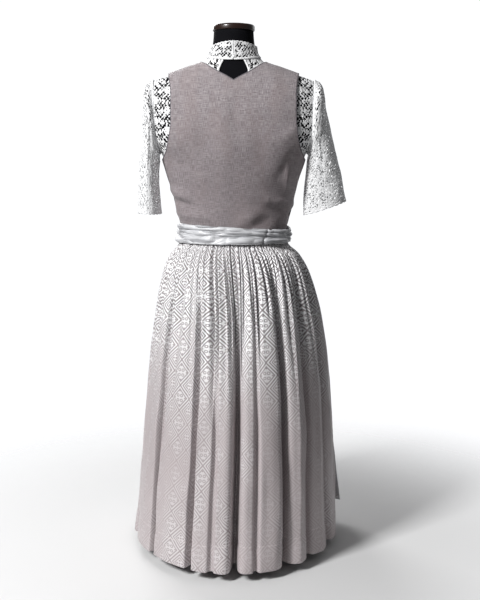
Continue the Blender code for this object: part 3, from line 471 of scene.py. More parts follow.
def body_y(x, rise, facing):
    square = BODY_SQUARE(rise)
    left = np.maximum(0.0, 1.0 - (np.abs(x) / BODY_SIDE(rise)) ** square)
    return facing * body_depth(rise, facing) * left ** (1.0 / square)


def body_level(x, y, rise):
    square = BODY_SQUARE(rise)
    depth = body_depth(rise, np.where(y >= 0, 1, -1))
    return (np.abs(x) / BODY_SIDE(rise)) ** square + (np.abs(y) / depth) ** square


def outward(x, y, rise):
    """The body surface's direction at each point."""
    steps = np.eye(3) * 0.0004
    return unit(np.stack([body_level(x + dx, y + dy, rise + dz)
                          - body_level(x - dx, y - dy, rise - dz) for dx, dy, dz in steps], -1))


def moved_out(x, y, rise, ease):
    x, y, rise, ease = np.broadcast_arrays(x, y, rise, ease)
    return np.stack([x, y, WAIST_Z + rise], -1) + ease[..., None] * outward(x, y, rise)


def oval(angle, side, depth, square):
    c, s = np.cos(angle), np.sin(angle)
    return (side * np.sign(c) * np.abs(c) ** (2.0 / square),
            depth * np.sign(s) * np.abs(s) ** (2.0 / square))


def body_ring(angle, rise, ease):
    """Points round the body, moved out by the ease."""
    facing = np.where(np.sin(angle) >= 0, 1, -1)
    x, y = oval(angle, BODY_SIDE(rise), body_depth(rise, facing), BODY_SQUARE(rise))
    return moved_out(x, y, rise, ease)


# %% [markdown]
# ## Form, cap, pole and base
# The form is padded and covered in black jersey with seams down its sides, its neck is capped
# with turned, lacquered wood, and it stands on a powder-coated steel pole and plate. They are
# plain shapes: rings for the form and turned outlines for the rest.

# %% Finishes of the form and stand
JERSEY_DARK, JERSEY_LIGHT = (0.0028, 0.0028, 0.0040), (0.0060, 0.0060, 0.0080)
WOOD_DARK, WOOD_LIGHT = (0.010, 0.0035, 0.002), (0.030, 0.011, 0.006)
STEEL_DARK, STEEL_WORN = (0.035, 0.035, 0.038), (0.075, 0.074, 0.072)


def jersey_finish():
    finish = Finish("black jersey", (0.004, 0.004, 0.0055), 0.92, Specular_IOR_Level=0.12)
    u, v = finish.cloth_axes()
    knit = (u * 5200.0).sin() * (v * 4200.0).sin()
    cloud = finish.noise(finish.place(), 34.0, 3.0)
    finish.wear("Base Color", finish.blend(cloud, JERSEY_DARK, JERSEY_LIGHT))
    finish.bump(knit * 0.5 + cloud * 0.6, 0.0003, 0.5)
    return finish


def lacquer_finish():
    finish = Finish("brown lacquer", (0.016, 0.006, 0.004), 0.30, Coat_Weight=0.5,
                    Coat_Roughness=0.12)
    x, y, z = finish.axes(finish.place())
    grain = finish.noise(finish.point(x, y, z * 12.0), 70.0, 5.0, 0.7)
    finish.wear("Base Color", finish.blend(grain, WOOD_DARK, WOOD_LIGHT))
    finish.wear("Roughness", grain * 0.2 + 0.22)
    finish.bump(grain, 0.0002, 0.4)
    return finish


def steel_finish():
    finish = Finish("powder coat", (0.045, 0.045, 0.048), 0.5, Metallic=0.3)
    where = finish.place()
    grit = finish.noise(where, 900.0, 2.0)
    worn = finish.noise(where, 9.0, 4.0)
    finish.wear("Base Color", finish.blend(worn, STEEL_DARK, STEEL_WORN))
    finish.wear("Roughness", worn * 0.25 + 0.35)
    finish.bump(grit, 0.0002, 0.5)
    return finish


JERSEY = jersey_finish()
LACQUER = lacquer_finish()
STEEL = steel_finish()
print("finishes:", ", ".join(made.material.name for made in (JERSEY, LACQUER, STEEL)))

# %% Form and stand
FORM_COLUMNS = 120
FORM_ROWS = 96
SIDE_SEAM_RISE = 0.0007
CAP_HEIGHT = 0.016
CAP_RADIUS = 0.0475
POLE_RADIUS = 0.0160
POLE_FOOT_RADIUS = 0.0272
BASE_RADIUS = 0.150
BASE_HEIGHT = 0.014
STAND_SIDES = 96
BASE_SIDES = 160


def add_torso():
    rises = np.linspace(FORM_BOTTOM, NECK_TOP, FORM_ROWS)
    angles = full_turn(FORM_COLUMNS)
    a, r = np.meshgrid(angles, rises)
    ease = FORM_TRIM - SIDE_SEAM_RISE * np.exp(-(np.abs(np.cos(a)) - 1) ** 2 / 0.00004)
    points = body_ring(a, r, ease)
    low, top = points[0].mean(0), points[-1].mean(0)
    floor = [low + (points[0] - low) * share for share in (0.02, 0.35, 0.7, 0.94)]
    lid = [top + (points[-1] - top) * share for share in (0.8, 0.4, 0.02)]
    points = np.concatenate([np.array(floor), points, np.array(lid)])
    flat = flat_ring(0.9, FORM_COLUMNS, np.linspace(0, 0.75, len(points)))
    torso = add_grid("torso", points, flat, JERSEY, closed=True)
    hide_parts("form_torso")


def turned(name, outline, finish, node, sides=STAND_SIDES):
    """A lathe shape from (radius, height) points listed from the bottom up."""
    outline = np.array(outline)
    angles = full_turn(sides)
    radius = np.maximum(outline[:, :1], 0.00005)
    points = np.stack([radius * np.cos(angles), radius * np.sin(angles),
                       np.repeat(outline[:, 1:], sides, 1)], -1)
    flat = flat_ring(0.3, sides, outline[:, 1])
    piece = add_grid(name, points, flat, finish, closed=True)
    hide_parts(node)


def arc(centre, radius, start, end, steps):
    """Points of a round edge, in degrees."""
    turns = np.radians(np.linspace(start, end, steps))
    return [(centre[0] + radius * math.cos(t), centre[1] + radius * math.sin(t)) for t in turns]


add_torso()
cap_z = WAIST_Z + NECK_TOP + SEAM_GAP
cap_outline = [(0.0, cap_z), (CAP_RADIUS - 0.002, cap_z)]
cap_outline += arc((CAP_RADIUS - 0.002, cap_z + 0.002), 0.002, -90, 0, 6)
cap_outline += arc((CAP_RADIUS - 0.006, cap_z + CAP_HEIGHT * 0.45), 0.006, 0, 60, 8)
cap_outline += [(0.0330, cap_z + CAP_HEIGHT * 0.90), (0.0180, cap_z + CAP_HEIGHT * 0.98),
                (0.0, cap_z + CAP_HEIGHT)]
turned("neck_cap", cap_outline, LACQUER, "form_neck_cap")
pole_low = BASE_HEIGHT + SEAM_GAP
pole_high = WAIST_Z + FORM_BOTTOM - SEAM_GAP
pole_outline = [(0.0, pole_low), (POLE_FOOT_RADIUS, pole_low),
                (POLE_FOOT_RADIUS, pole_low + 0.010)]
pole_outline += arc((POLE_FOOT_RADIUS - 0.002, pole_low + 0.010), 0.002, 0, 90, 5)
pole_outline += [(0.0175, pole_low + 0.0135), (0.0162, pole_low + 0.020)]
pole_outline += [(POLE_RADIUS, pole_low + 0.021), (POLE_RADIUS, pole_high), (0.0, pole_high)]
turned("pole", pole_outline, STEEL, "form_pole")
base_outline = [(0.0, 0.0), (BASE_RADIUS - 0.001, 0.0), (BASE_RADIUS, 0.001)]
base_outline += arc((BASE_RADIUS - 0.005, 0.0065), 0.005, 0, 70, 8)
base_outline += [(BASE_RADIUS - 0.030, BASE_HEIGHT), (0.0, BASE_HEIGHT)]
turned("base", base_outline, STEEL, "form_base", BASE_SIDES)
print("form and stand made")

# %% [markdown]
# ## Skirt: one wide width of damask
# A dirndl skirt is a straight width of cloth, 2.50 m here, gathered into the waist by
# fine stitched pleats and falling into deep folds. The fold table says where each deep valley
# lies at the hem. From there the cloth's own share of the width is worked out, so the woven
# pattern keeps its true size in the cloth's coordinates and is hidden in the folds as it
# really is.

# %% Skirt tables
SKIRT_ROWS = [
    # drop, side, back, front, shift, share of the folds' depth, lean
    (0.0003, 0.1202, 0.0886, 0.0916, 0.000, 0.00, 0.00),
    (0.0300, 0.1246, 0.0921, 0.0941, 0.000, 0.00, 0.05),
    (0.0560, 0.1500, 0.1230, 0.1220, -0.002, 0.05, 0.25),
    (0.1000, 0.1720, 0.1540, 0.1450, -0.006, 0.18, 0.50),
    (0.1850, 0.1925, 0.1900, 0.1690, -0.010, 0.42, 0.85),
    (0.3500, 0.2130, 0.2330, 0.1970, -0.012, 0.70, 1.00),
    (0.7100, 0.2375, 0.2850, 0.2230, -0.0050, 1.00, 1.00),
]
FOLDS = [
    # angle of the valley at the hem in degrees from +X towards the back, depth, half width
    (12.0, 0.030, 3.6),
    (37.0, 0.040, 3.0),
    (64.0, 0.030, 2.8),
    (76.5, 0.020, 2.2),
    (89.0, 0.056, 2.6),
    (100.5, 0.020, 2.2),
    (119.0, 0.056, 2.6),
    (136.0, 0.030, 3.0),
    (157.0, 0.040, 3.4),
    (178.0, 0.026, 3.4),
    (196.0, 0.040, 3.2),
    (213.0, 0.030, 3.0),
    (229.0, 0.042, 3.0),
    (246.0, 0.028, 2.8),
    (262.0, 0.040, 2.8),
    (279.0, 0.030, 2.8),
    (296.0, 0.042, 3.0),
    (312.0, 0.030, 3.0),
    (329.0, 0.040, 3.2),
    (348.0, 0.030, 3.4),
]
FOLD_PROFILE = [
    # side of the crest, place, depth share
    ("valley", 0.28, 1.00),
    ("valley", 1.00, 0.10),
    ("crest", 0.25, 0.02),
    ("crest", 0.50, 0.00),
    ("crest", 0.75, 0.02),
    ("next", 1.00, 0.10),
    ("next", 0.28, 1.00),
]
GATHER_COUNT = 58
GATHER_DEPTHS = [
    # drop, depth of the stitched gathers
    (0.000, 0.0032),
    (0.030, 0.0065),
    (0.050, 0.0130),
    (0.100, 0.0200),
    (0.185, 0.0210),
    (0.280, 0.0165),
    (0.400, 0.0110),
    (0.550, 0.0050),
    (0.710, 0.0000),
]
FOLD_LOOKS = [
    # angle of the valley at the hem, sharpness, share of its depth
    (12.0, 2.0, 1.00),
    (37.0, 2.8, 1.00),
    (64.0, 3.2, 0.95),
    (76.5, 1.0, 0.60),
    (89.0, 0.55, 1.10),
    (100.5, 1.1, 0.70),
    (119.0, 0.6, 1.10),
    (136.0, 0.55, 1.25),
    (157.0, 0.6, 1.20),
    (178.0, 1.4, 1.00),
    (229.0, 1.8, 1.00),
    (329.0, 1.8, 1.00),
]
SKIRT_COLUMNS = 780
SKIRT_LINES = 80
GATHER_LINES = 22
GATHER_LENGTH = 0.11
FOLD_REACH = 16

# %% Skirt shape
def fold_columns():
    """Hem angle in degrees and fold depth of each column of the folds' coarse shape."""
    angles, depths = [], []
    first_again = (FOLDS[0][0] + 360.0, *FOLDS[0][1:])
    for (angle, depth, half), (next_angle, next_depth, next_half) in zip(
            FOLDS, FOLDS[1:] + [first_again]):
        for place, share, left in FOLD_PROFILE:
            if place == "valley":
                angles.append(angle + half * share)
                depths.append(depth * left)
            elif place == "next":
                angles.append(next_angle - next_half * share)
                depths.append(next_depth * left)
            else:
                start, end = angle + half, next_angle - next_half
                angles.append(start + (end - start) * share)
                depths.append((depth + next_depth) / 2 * left)
    return np.array(angles), np.array(depths)


SIDE_AT, BACK_AT, FRONT_AT, SHIFT_AT, OPENED_AT, LEAN_AT = (
    column(SKIRT_ROWS, 0, k) for k in range(1, 7))
GATHER_AT = column(GATHER_DEPTHS, 0, 1)


def skirt_section(drop, angle, inward):
    """A point of the skirt's section at a drop below the waist; angle in radians."""
    depth = np.where(np.sin(angle) >= 0, BACK_AT(drop), FRONT_AT(drop))
    x = (SIDE_AT(drop) - inward) * np.cos(angle) + SHIFT_AT(drop)
    return x, (depth - inward) * np.sin(angle)


def cloth_columns(count):
    """Hem angle, fold depth and share of the cloth's width, evenly spaced along the hem."""
    angles, depths = fold_columns()
    total = len(angles)
    pad = 3
    index = np.arange(-pad, total + pad + 1)
    turns = index // total
    angle_at = Curve(index, angles[index % total] + 360.0 * turns)
    depth_at = Curve(index, depths[index % total])
    fine = np.linspace(0.0, total, 12000)
    x, y = skirt_section(SKIRT_LENGTH, np.radians(angle_at(fine)), depth_at(fine))
    length = np.concatenate([[0.0], np.cumsum(np.hypot(np.diff(x), np.diff(y)))])
    shares = np.arange(count) / count
    where = np.interp(shares * length[-1], length, fine)
    return angle_at(where), depth_at(where), shares, length[-1], angle_at(0.0)


HEM_ANGLES, FOLD_DEPTHS, SHARES, CLOTH_WIDTH, START_ANGLE = cloth_columns(SKIRT_COLUMNS)
print("skirt width at the hem:", round(CLOTH_WIDTH, 3), "m")


def gather_waves(drop, shares):
    """Sharp creases below the waist, each with its own depth, width, length and wander."""
    chance = np.random.default_rng(58)
    deep = chance.uniform(0.35, 1.75, GATHER_COUNT)
    long = chance.uniform(0.10, 0.40, GATHER_COUNT) + 0.30 * (chance.random(GATHER_COUNT) > 0.78)
    wide = chance.uniform(0.085, 0.17, GATHER_COUNT)
    moved = chance.uniform(-0.24, 0.24, GATHER_COUNT)
    drift = chance.uniform(-0.9, 0.9, GATHER_COUNT)
    phase = shares * GATHER_COUNT
    nearest = np.round(phase).astype(int)
    k = nearest % GATHER_COUNT
    away = phase - nearest - moved[k] - drift[k] * drop * (1 - 1.2 * drop)
    fade = 1.0 - smooth(drop, long[k] * 0.35, long[k])
    crease = np.exp(-np.abs(away / (wide[k] * (0.8 + 0.9 * drop))) ** 1.35)
    crown = 0.30 * (2 * away) ** 2 * smooth(drop, 0.0, 0.03)
    return deep[k] * (crease * fade) + crown * (1 - smooth(drop, 0.15, 0.42))


def sharpened(depths, hem_angles):
    """Give each fold its own width and depth: slits, soft folds and wide dark ones."""
    table = np.array(FOLD_LOOKS)
    sharpness = np.interp(hem_angles, table[:, 0], table[:, 1], period=360.0)
    share = np.interp(hem_angles, table[:, 0], table[:, 2], period=360.0)
    around = np.stack([np.roll(depths, i) for i in range(-FOLD_REACH, FOLD_REACH + 1)])
    deepest = np.maximum(around.max(0), 1e-6)
    return share * deepest * (depths / deepest) ** sharpness


def skirt_points(drops, hem_angles, depths, shares, out=0.0, softness=1.0):
    drop = drops[:, None]
    waist_angles = START_ANGLE + 360.0 * shares
    angle = np.radians(waist_angles + (hem_angles - waist_angles) * LEAN_AT(drop))
    inward = GATHER_AT(drop) * gather_waves(drop, shares) + depths * OPENED_AT(drop)
    ripple = value_noise(shares * 150.0, drop * 9.0 + 0 * shares, 3, 150) * 0.0016
    ripple += value_noise(shares * 60.0, drop * 14.0 + 0 * shares, 4, 60) * 0.0018
    ripple *= smooth(drop, 0.03, 0.20)
    sway = value_noise(shares * 36.0, drop * 5.0 + 0 * shares, 6, 36)
    ripple += 0.0046 * sway * smooth(drop, 0.15, 0.50)
    x, y = skirt_section(drop, angle, inward * softness + ripple - out)
    return np.stack([x, y, WAIST_Z - drop + 0 * x], -1)


# %% [markdown]
# ## Damask finish
# The cloth has an argyle lattice of diamonds, 58 mm wide and 54 mm high, with two or three lines
# round each. One kind holds five dots, the other a ring with four small dots round it. All of
# them are distances in the cloth's coordinates. Near the waist a painted sheen lies over the
# cloth: the ground is painted silver-white and the figure dark. Further down the ground is taupe
# and the figure pale and faint, and the painted sheen comes back there in soft painted glints.

# %% Damask
DIAMOND_WIDTH = 0.044
DIAMOND_HEIGHT = 0.054
PATTERN_SPREAD = 0.76
HEM_DEPTH = 0.055
TAUPE = (0.330, 0.275, 0.280)
TAUPE_LIGHT = (0.545, 0.485, 0.490)
# white of the painted sheen near the waist, and of the pale figure lower down
FIGURE_AND_PAINTED_SHEEN_WHITE = (0.930, 0.925, 0.935)
FIGURE = (0.200, 0.172, 0.178)
STITCH_COLOR = (0.72, 0.66, 0.66)
LATTICE_LINES = [
    # distance from the diamond's edge, half width
    (0.0000, 0.00120),
    (0.0050, 0.00095),
    (0.0090, 0.00080),
]
LINE_SOFT = 0.0004
DOT_HALF = 0.0018
DOTS_APART = (0.0050, 0.0062)
RING_PLACE = (0.0042, 0.0052)
RING_RADIUS = 0.0026
RING_HALF = 0.0008
FAR_DOT_HALF = 0.0015
FAR_DOTS = (0.0118, 0.0150)
FAINT = 0.38
# how far down the cloth the painted sheen reaches
PAINTED_SHEEN_LENGTH = 0.50
# strength of the painted glint patches lower down
PAINTED_GLINT_SHARE = 0.30
RIB_PITCH = 0.0011


def damask_finish():
    finish = Finish("damask", TAUPE, 0.5, Sheen_Weight=0.15, Sheen_Roughness=0.4)
    u, v = finish.cloth_axes()
    u = u * PATTERN_SPREAD
    w, h = DIAMOND_WIDTH, DIAMOND_HEIGHT
    slant = w * h / math.hypot(w, h)
    xa = ((u / w + 0.5).fract() - 0.5) * w
    ya = ((v / h + 0.5).fract() - 0.5) * h
    xb = ((u / w).fract() - 0.5) * w
    yb = ((v / h).fract() - 0.5) * h
    inside = 0.5 - abs(xa) / w - abs(ya) / h
    edge = abs(inside) * slant
    first_kind = inside.step_up(0.0, 0.002)
    lattice, inner, third = (abs(edge - away).step_down(half, LINE_SOFT)
                             for away, half in LATTICE_LINES)
    side_dots = (abs(xa) - DOTS_APART[0]).reach(ya).least(xa.reach(abs(ya) - DOTS_APART[1]))
    dotted = xa.reach(ya).least(side_dots).step_down(DOT_HALF, LINE_SOFT)
    rings = (abs(xb) - RING_PLACE[0]).reach(abs(yb) - RING_PLACE[1])
    ringed = abs(rings - RING_RADIUS).step_down(RING_HALF, LINE_SOFT)
    far_dots = (abs(xb) - FAR_DOTS[0]).reach(yb).least(xb.reach(abs(yb) - FAR_DOTS[1]))
    far = far_dots.step_down(FAR_DOT_HALF, LINE_SOFT)
    motif_a = dotted.most(third)
    motif_b = ringed.most(far)
    figure = lattice.most(inner).most(motif_a * first_kind).most(motif_b * (1.0 - first_kind))
    cloud = finish.patches(u * 5.0, v * 3.6, 3.0, rough=0.6)
    # painted sheen: white near the waist, fading out further down, with a wavy edge
    high = (v + cloud * 0.40).step_down(PAINTED_SHEEN_LENGTH, 0.17)
    # painted glint: soft patches where the painted sheen comes back lower down
    painted_glint_patches = finish.patches(u * 7.0, v * 2.6, 3.0, 6.0, rough=0.6)
    painted_glint = painted_glint_patches.step_up(0.585, 0.07) * PAINTED_GLINT_SHARE
    high = high + painted_glint * (1.0 - high)
    thread = finish.patches(u * 260.0, v * 2600.0, 2.0)
    ground = finish.blend(cloud * 0.7 + thread * 0.3, TAUPE, TAUPE_LIGHT)
    pale = finish.blend(0.5, ground, FIGURE_AND_PAINTED_SHEEN_WHITE)
    lower = finish.blend(figure * FAINT + (1.0 - FAINT), pale, ground)
    # colours under the painted sheen: painted white ground, dark figure
    upper = finish.blend(figure, FIGURE_AND_PAINTED_SHEEN_WHITE, FIGURE)
    color = finish.blend(high, lower, upper)
    turn_up = abs(v - (SKIRT_LENGTH - HEM_DEPTH)).step_down(0.0011, 0.0006)
    dashes = finish.patches(u * 120.0, v * 3.0, 1.0).step_up(0.50, 0.05)
    color = finish.blend(turn_up * dashes * 0.60, color, STITCH_COLOR)
    finish.wear("Base Color", color)
    finish.wear("Roughness", 0.42 + figure * 0.22)
    rib = (v * (2 * math.pi / RIB_PITCH)).sin()
    finish.bump(rib * 0.10 - figure * 0.5 + thread * 0.35 - turn_up * dashes, 0.0004, 0.6)
    return finish


DAMASK = damask_finish()
print("damask nodes:", len(DAMASK.tree.nodes))

# %% [markdown]
# ## Skirt mesh
# The sheet ends in a hem that is turned up inside and caught with small stitches. The turned
# part is real cloth here, so the edge has its rounded fold, and each stitch pulls a dimple
# into the outside.

# %% Skirt
HEM_ROUND = 0.0011
HEM_INSIDE = 0.0022
STITCH_PITCH = 0.0085
STITCH_DIMPLE = 0.0009


def across_gathers(points):
    """Width coordinate of the cloth along each row. A crease swallows the cloth that its sides
    take, and the middle between two creases stays where it is on the cloth."""
    step = np.linalg.norm(np.diff(points, axis=1, append=points[:, :1]), axis=2)
    length = np.concatenate([np.zeros((len(points), 1)), np.cumsum(step, 1)], 1)
    phase = np.append(SHARES, 1.0) * GATHER_COUNT
    middles = np.concatenate([[0.0], np.arange(GATHER_COUNT) + 0.5, [GATHER_COUNT]])
    rows = []
    for row in length:
        marks = np.interp(middles, phase, row)
        rows.append(np.interp(row, marks, middles))
    return np.array(rows) * CLOTH_WIDTH / GATHER_COUNT


def add_skirt():
    drops = np.concatenate([
        np.linspace(SEAM_GAP, GATHER_LENGTH, GATHER_LINES, endpoint=False),
        np.linspace(GATHER_LENGTH, SKIRT_LENGTH - HEM_ROUND, SKIRT_LINES - GATHER_LINES)])
    points = skirt_points(drops, HEM_ANGLES, sharpened(FOLD_DEPTHS, HEM_ANGLES), SHARES)
    normal = grid_normals(points[::-1], closed=True)[::-1]
    u = SHARES * CLOTH_WIDTH
    stitch = np.exp(-((np.mod(u / STITCH_PITCH, 1.0) - 0.5) / 0.2) ** 2)
    line = np.exp(-((drops[:, None] - (SKIRT_LENGTH - HEM_DEPTH)) / 0.004) ** 2)
    puff = smooth(drops[:, None], SKIRT_LENGTH - HEM_DEPTH, SKIRT_LENGTH - HEM_DEPTH * 0.8)
    wavy = value_noise(SHARES * 110.0, drops[:, None] * 24.0 + 0 * SHARES, 9, 110)
    push = puff * (0.0007 + 0.0008 * wavy) - line * (0.0006 + STITCH_DIMPLE * stitch)
    points = points + normal * push[..., None]
    edge, way = points[-1], normal[-1]
    turned_up = []
    for turn in np.radians([45, 90, 135, 180]):
        level = edge - way * (HEM_ROUND * (1 - np.cos(turn)))
        level[:, 2] -= HEM_ROUND * np.sin(turn)
        turned_up.append(level)
    for back in (2, 4, 6):
        turned_up.append(points[-back] - normal[-back] * HEM_INSIDE)
    points = np.concatenate([points, np.array(turned_up)])
    inside = SKIRT_LENGTH + np.linspace(0.0005, HEM_DEPTH, len(turned_up))
    across = across_gathers(points)
    flat = np.stack([across, np.concatenate([drops, inside])[:, None] + 0 * across], -1)
    skirt = add_grid("skirt_cloth", points[::-1], flat[::-1], DAMASK, closed=True)
    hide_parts("skirt")
    print("skirt quads:", len(skirt.data.polygons))


add_skirt()

# %% [markdown]
# ## Apron: a pale cotton panel over the front
# The apron lies on the skirt's folds, so its points are the skirt's own front points, moved out
# by a few millimetres and with half the fold depth: a second layer of cloth bridges the
# valleys. Its free edge at the wearer's right flares and shows from the back, and the other one
# lies close.

# %% Apron cloth finish
DOT_PITCH = 0.0072
DOT_RADIUS = 0.17
DOT_COLOR = (0.075, 0.070, 0.080)
COTTON_DARK, COTTON_LIGHT = (0.54, 0.54, 0.56), (0.68, 0.68, 0.69)


def apron_finish():
    finish = Finish("dotted cotton", (0.72, 0.72, 0.73), 0.55, Sheen_Weight=0.2)
    u, v = finish.cloth_axes()
    even, odd = (((u / DOT_PITCH + moved).fract() - 0.5).reach(
        (v / DOT_PITCH + moved).fract() - 0.5) for moved in (0.0, 0.5))
    dot = even.least(odd).step_down(DOT_RADIUS, 0.05)
    cloud = finish.noise(finish.place(), 14.0, 3.0)
    plain = finish.blend(cloud, COTTON_DARK, COTTON_LIGHT)
    finish.wear("Base Color", finish.blend(dot * 0.85, plain, DOT_COLOR))
    weave = (u * 6200.0).sin() * (v * 6200.0).sin()
    finish.bump(weave * 0.3 + cloud * 0.4, 0.0003, 0.5)
    return finish


APRON_CLOTH = apron_finish()
print("apron nodes:", len(APRON_CLOTH.tree.nodes))

# %% Apron
APRON_FIRST_FOLD = 10
APRON_LAST_FOLD = 19
APRON_OUT = 0.0034
APRON_SOFTNESS = 0.5
APRON_SHORTER = 0.030
APRON_EDGE_FLARE = 0.034
APRON_EDGE_WIDTH = 0.075
APRON_COLUMNS = 240
APRON_LINES = 56
APRON_HEM = 0.040
APRON_WALL = 0.0006


def add_apron():
    first = FOLDS[APRON_FIRST_FOLD][0] + FOLDS[APRON_FIRST_FOLD][2]
    last = FOLDS[APRON_LAST_FOLD][0] + FOLDS[APRON_LAST_FOLD][2] * FOLD_PROFILE[0][1]
    share_at = Curve(HEM_ANGLES, SHARES)
    shares = np.linspace(share_at(first), share_at(last), APRON_COLUMNS)
    hem_angles = np.interp(shares, SHARES, HEM_ANGLES)
    depths = np.interp(shares, SHARES, FOLD_DEPTHS)
    top = SKIRT_ROWS[1][0] + SEAM_GAP
    low = SKIRT_LENGTH - APRON_SHORTER
    drops = np.linspace(top, low, APRON_LINES)
    fall = ((drops - top) / (low - top))[:, None]
    u = (shares - shares[0]) * CLOTH_WIDTH
    near = np.maximum(0.0, 1.0 - u / APRON_EDGE_WIDTH) ** 2
    far_side = smooth(u, u[-1] - 0.10, u[-1])
    out = APRON_OUT * (1.0 - 0.7 * far_side * smooth(0.3 - fall, 0.0, 0.2))
    out = out + APRON_EDGE_FLARE * near * fall ** 2
    points = skirt_points(drops, hem_angles, depths, shares, out, APRON_SOFTNESS)
    normal = grid_normals(points[::-1])[::-1]
    line = np.exp(-((drops[:, None] - (low - APRON_HEM)) / 0.003) ** 2)
    ripple = value_noise(u * 26.0, drops[:, None] * 16.0 + 0 * u, 21) * 0.0012
    points = points + normal * (ripple * smooth(fall, 0.05, 0.4) - line * 0.0007)[..., None]
    flat = flat_grid(u, drops - top)
    apron = add_grid("apron_cloth", points[::-1], flat[::-1], APRON_CLOTH)
    thicken(apron, APRON_WALL)
    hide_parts("apron")


add_apron()

# %% [markdown]
# ## Lace: motifs cut as real holes
# The blouse is guipure lace, an openwork of small flowers and leaves joined by bars. A picture
# of lace on a plain sheet would look flat where the black form shows through, so the holes are
# real. A height field over the flat cloth says how far each point lies inside a thread. Where
# it is above zero there is cloth. The sheet's fine grid is then cut along that line, triangle
# by triangle, and thickened.

# %% Lace pattern
TILE_WIDTH = 0.034
TILE_HEIGHT = 0.044
BAR_HALF = 0.00065
NET_PITCH = 0.0068
FLOWERS = [
    # x, y, radius, petals
    (0.0000, 0.0040, 0.0092, 6),
    (0.0128, -0.0150, 0.0055, 5),
    (-0.0120, -0.0135, 0.0050, 5),
]
LEAVES = [
    # x, y, half length, half width, turn
    (0.0132, 0.0030, 0.0055, 0.0023, 1.25),
    (-0.0132, 0.0050, 0.0055, 0.0023, 1.85),
    (0.0080, 0.0165, 0.0058, 0.0023, 0.45),
    (-0.0085, 0.0172, 0.0054, 0.0022, 2.60),
    (0.0005, -0.0125, 0.0054, 0.0021, 1.50),
]
LEAF_VEIN = 0.0004
PETAL_GAP = 0.0010
RING_WIDTH = 0.0007
THREAD_RELIEF = 0.28
THREAD_FULL = 0.0018
CUT_MARGIN = 0.04


def leaf_height(x, y, long, short, turn):
    """How far inside a leaf with an open vein a point lies, in metres."""
    c, s = math.cos(turn), math.sin(turn)
    p, q = x * c + y * s, y * c - x * s
    body = (1.0 - np.hypot(p / long, q / short)) * short
    return np.minimum(body, np.maximum(np.abs(q) - LEAF_VEIN, np.abs(p) - long * 0.55))


def flower_height(x, y, radius, petals):
    """The same for a flower with slits between its petals and a ring in its middle."""
    r = np.hypot(x, y)
    lobes = np.abs(np.cos(np.arctan2(y, x) * petals / 2))
    body = radius * (0.60 + 0.40 * lobes ** 0.6) - r
    between = np.abs(np.arcsin(np.clip(lobes, 0, 1))) * 2 / petals * r
    slit = np.minimum(PETAL_GAP - between, r - radius * 0.42)
    hole = np.maximum(slit, radius * 0.20 - r)
    ring = RING_WIDTH - np.abs(r - radius * 0.20 - RING_WIDTH)
    return np.maximum(np.minimum(body, -hole), ring)


def from_line(place):
    """Distance to the nearest bar of the net."""
    return np.abs(np.mod(place / NET_PITCH, 1.0) - 0.5) * NET_PITCH


def lace_height(u, v):
    """Metres inside the lace's threads at a place on the flat cloth."""
    wave = value_noise(u * 45.0, v * 45.0, 31) * 0.0012
    u, v = u + wave, v - wave
    field = BAR_HALF - np.minimum(from_line((u + v) / math.sqrt(2)),
                                  from_line((u - v) / math.sqrt(2)))
    strip = np.floor(u / TILE_WIDTH)
    v = v + np.mod(strip, 2) * TILE_HEIGHT / 2
    x = np.mod(u, TILE_WIDTH) - TILE_WIDTH / 2
    y = np.mod(v, TILE_HEIGHT) - TILE_HEIGHT / 2
    x = np.where(np.mod(strip, 2) > 0, -x, x)
    for centre_x, centre_y, radius, petals in FLOWERS:
        field = np.maximum(field, flower_height(x - centre_x, y - centre_y, radius, petals))
    for centre_x, centre_y, long, short, turn in LEAVES:
        field = np.maximum(field, leaf_height(x - centre_x, y - centre_y, long, short, turn))
    return field


def cut_sheet(points, flat, inside):
    """Cut a grid along the line where inside is zero. Gives points, triangles, corner uv."""
    rows, columns = inside.shape
    faces, _ = grid_faces(rows, columns, False)
    triangles = np.concatenate([faces[:, [0, 1, 2]], faces[:, [0, 2, 3]]])
    p, f, s = points.reshape(-1, 3), flat.reshape(-1, 2), inside.ravel()
    s = np.where(np.abs(s) < 1e-6, 1e-6, s)
    kept = s[triangles] > 0
    count = kept.sum(1)
    whole = triangles[count == 3]
    corners, new_pairs = [], []

    def cut_between(a, b):
        new_pairs.append(np.stack([np.minimum(a, b), np.maximum(a, b)], -1))
        return len(new_pairs) - 1

    for number in (1, 2):
        chosen, mask = triangles[count == number], kept[count == number]
        odd = mask if number == 1 else ~mask
        first = odd.argmax(1)
        index = np.arange(len(chosen))
        a = chosen[index, first]
        b = chosen[index, (first + 1) % 3]
        c = chosen[index, (first + 2) % 3]
        corners.append((number, a, b, c, cut_between(a, b), cut_between(a, c)))
    pairs = np.concatenate(new_pairs)
    keys, place = np.unique(pairs, axis=0, return_inverse=True)
    place = place.ravel() + len(p)
    starts = np.cumsum([0] + [len(pair) for pair in new_pairs])
    t = (s[keys[:, 0]] / (s[keys[:, 0]] - s[keys[:, 1]]))[:, None]
    t = np.clip(t, CUT_MARGIN, 1.0 - CUT_MARGIN)
    p = np.concatenate([p, p[keys[:, 0]] * (1 - t) + p[keys[:, 1]] * t])
    f = np.concatenate([f, f[keys[:, 0]] * (1 - t) + f[keys[:, 1]] * t])
    made = [whole]
    for number, a, b, c, ab, ac in corners:
        near_b = place[starts[ab]:starts[ab + 1]]
        near_c = place[starts[ac]:starts[ac + 1]]
        if number == 1:
            made.append(np.stack([a, near_b, near_c], -1))
        else:
            made.append(np.stack([near_b, b, c], -1))
            made.append(np.stack([near_b, c, near_c], -1))
    triangles = np.concatenate(made)
    used, triangles = np.unique(triangles, return_inverse=True)
    triangles = triangles.reshape(-1, 3)
    return p[used], triangles, f[used][triangles.ravel()]


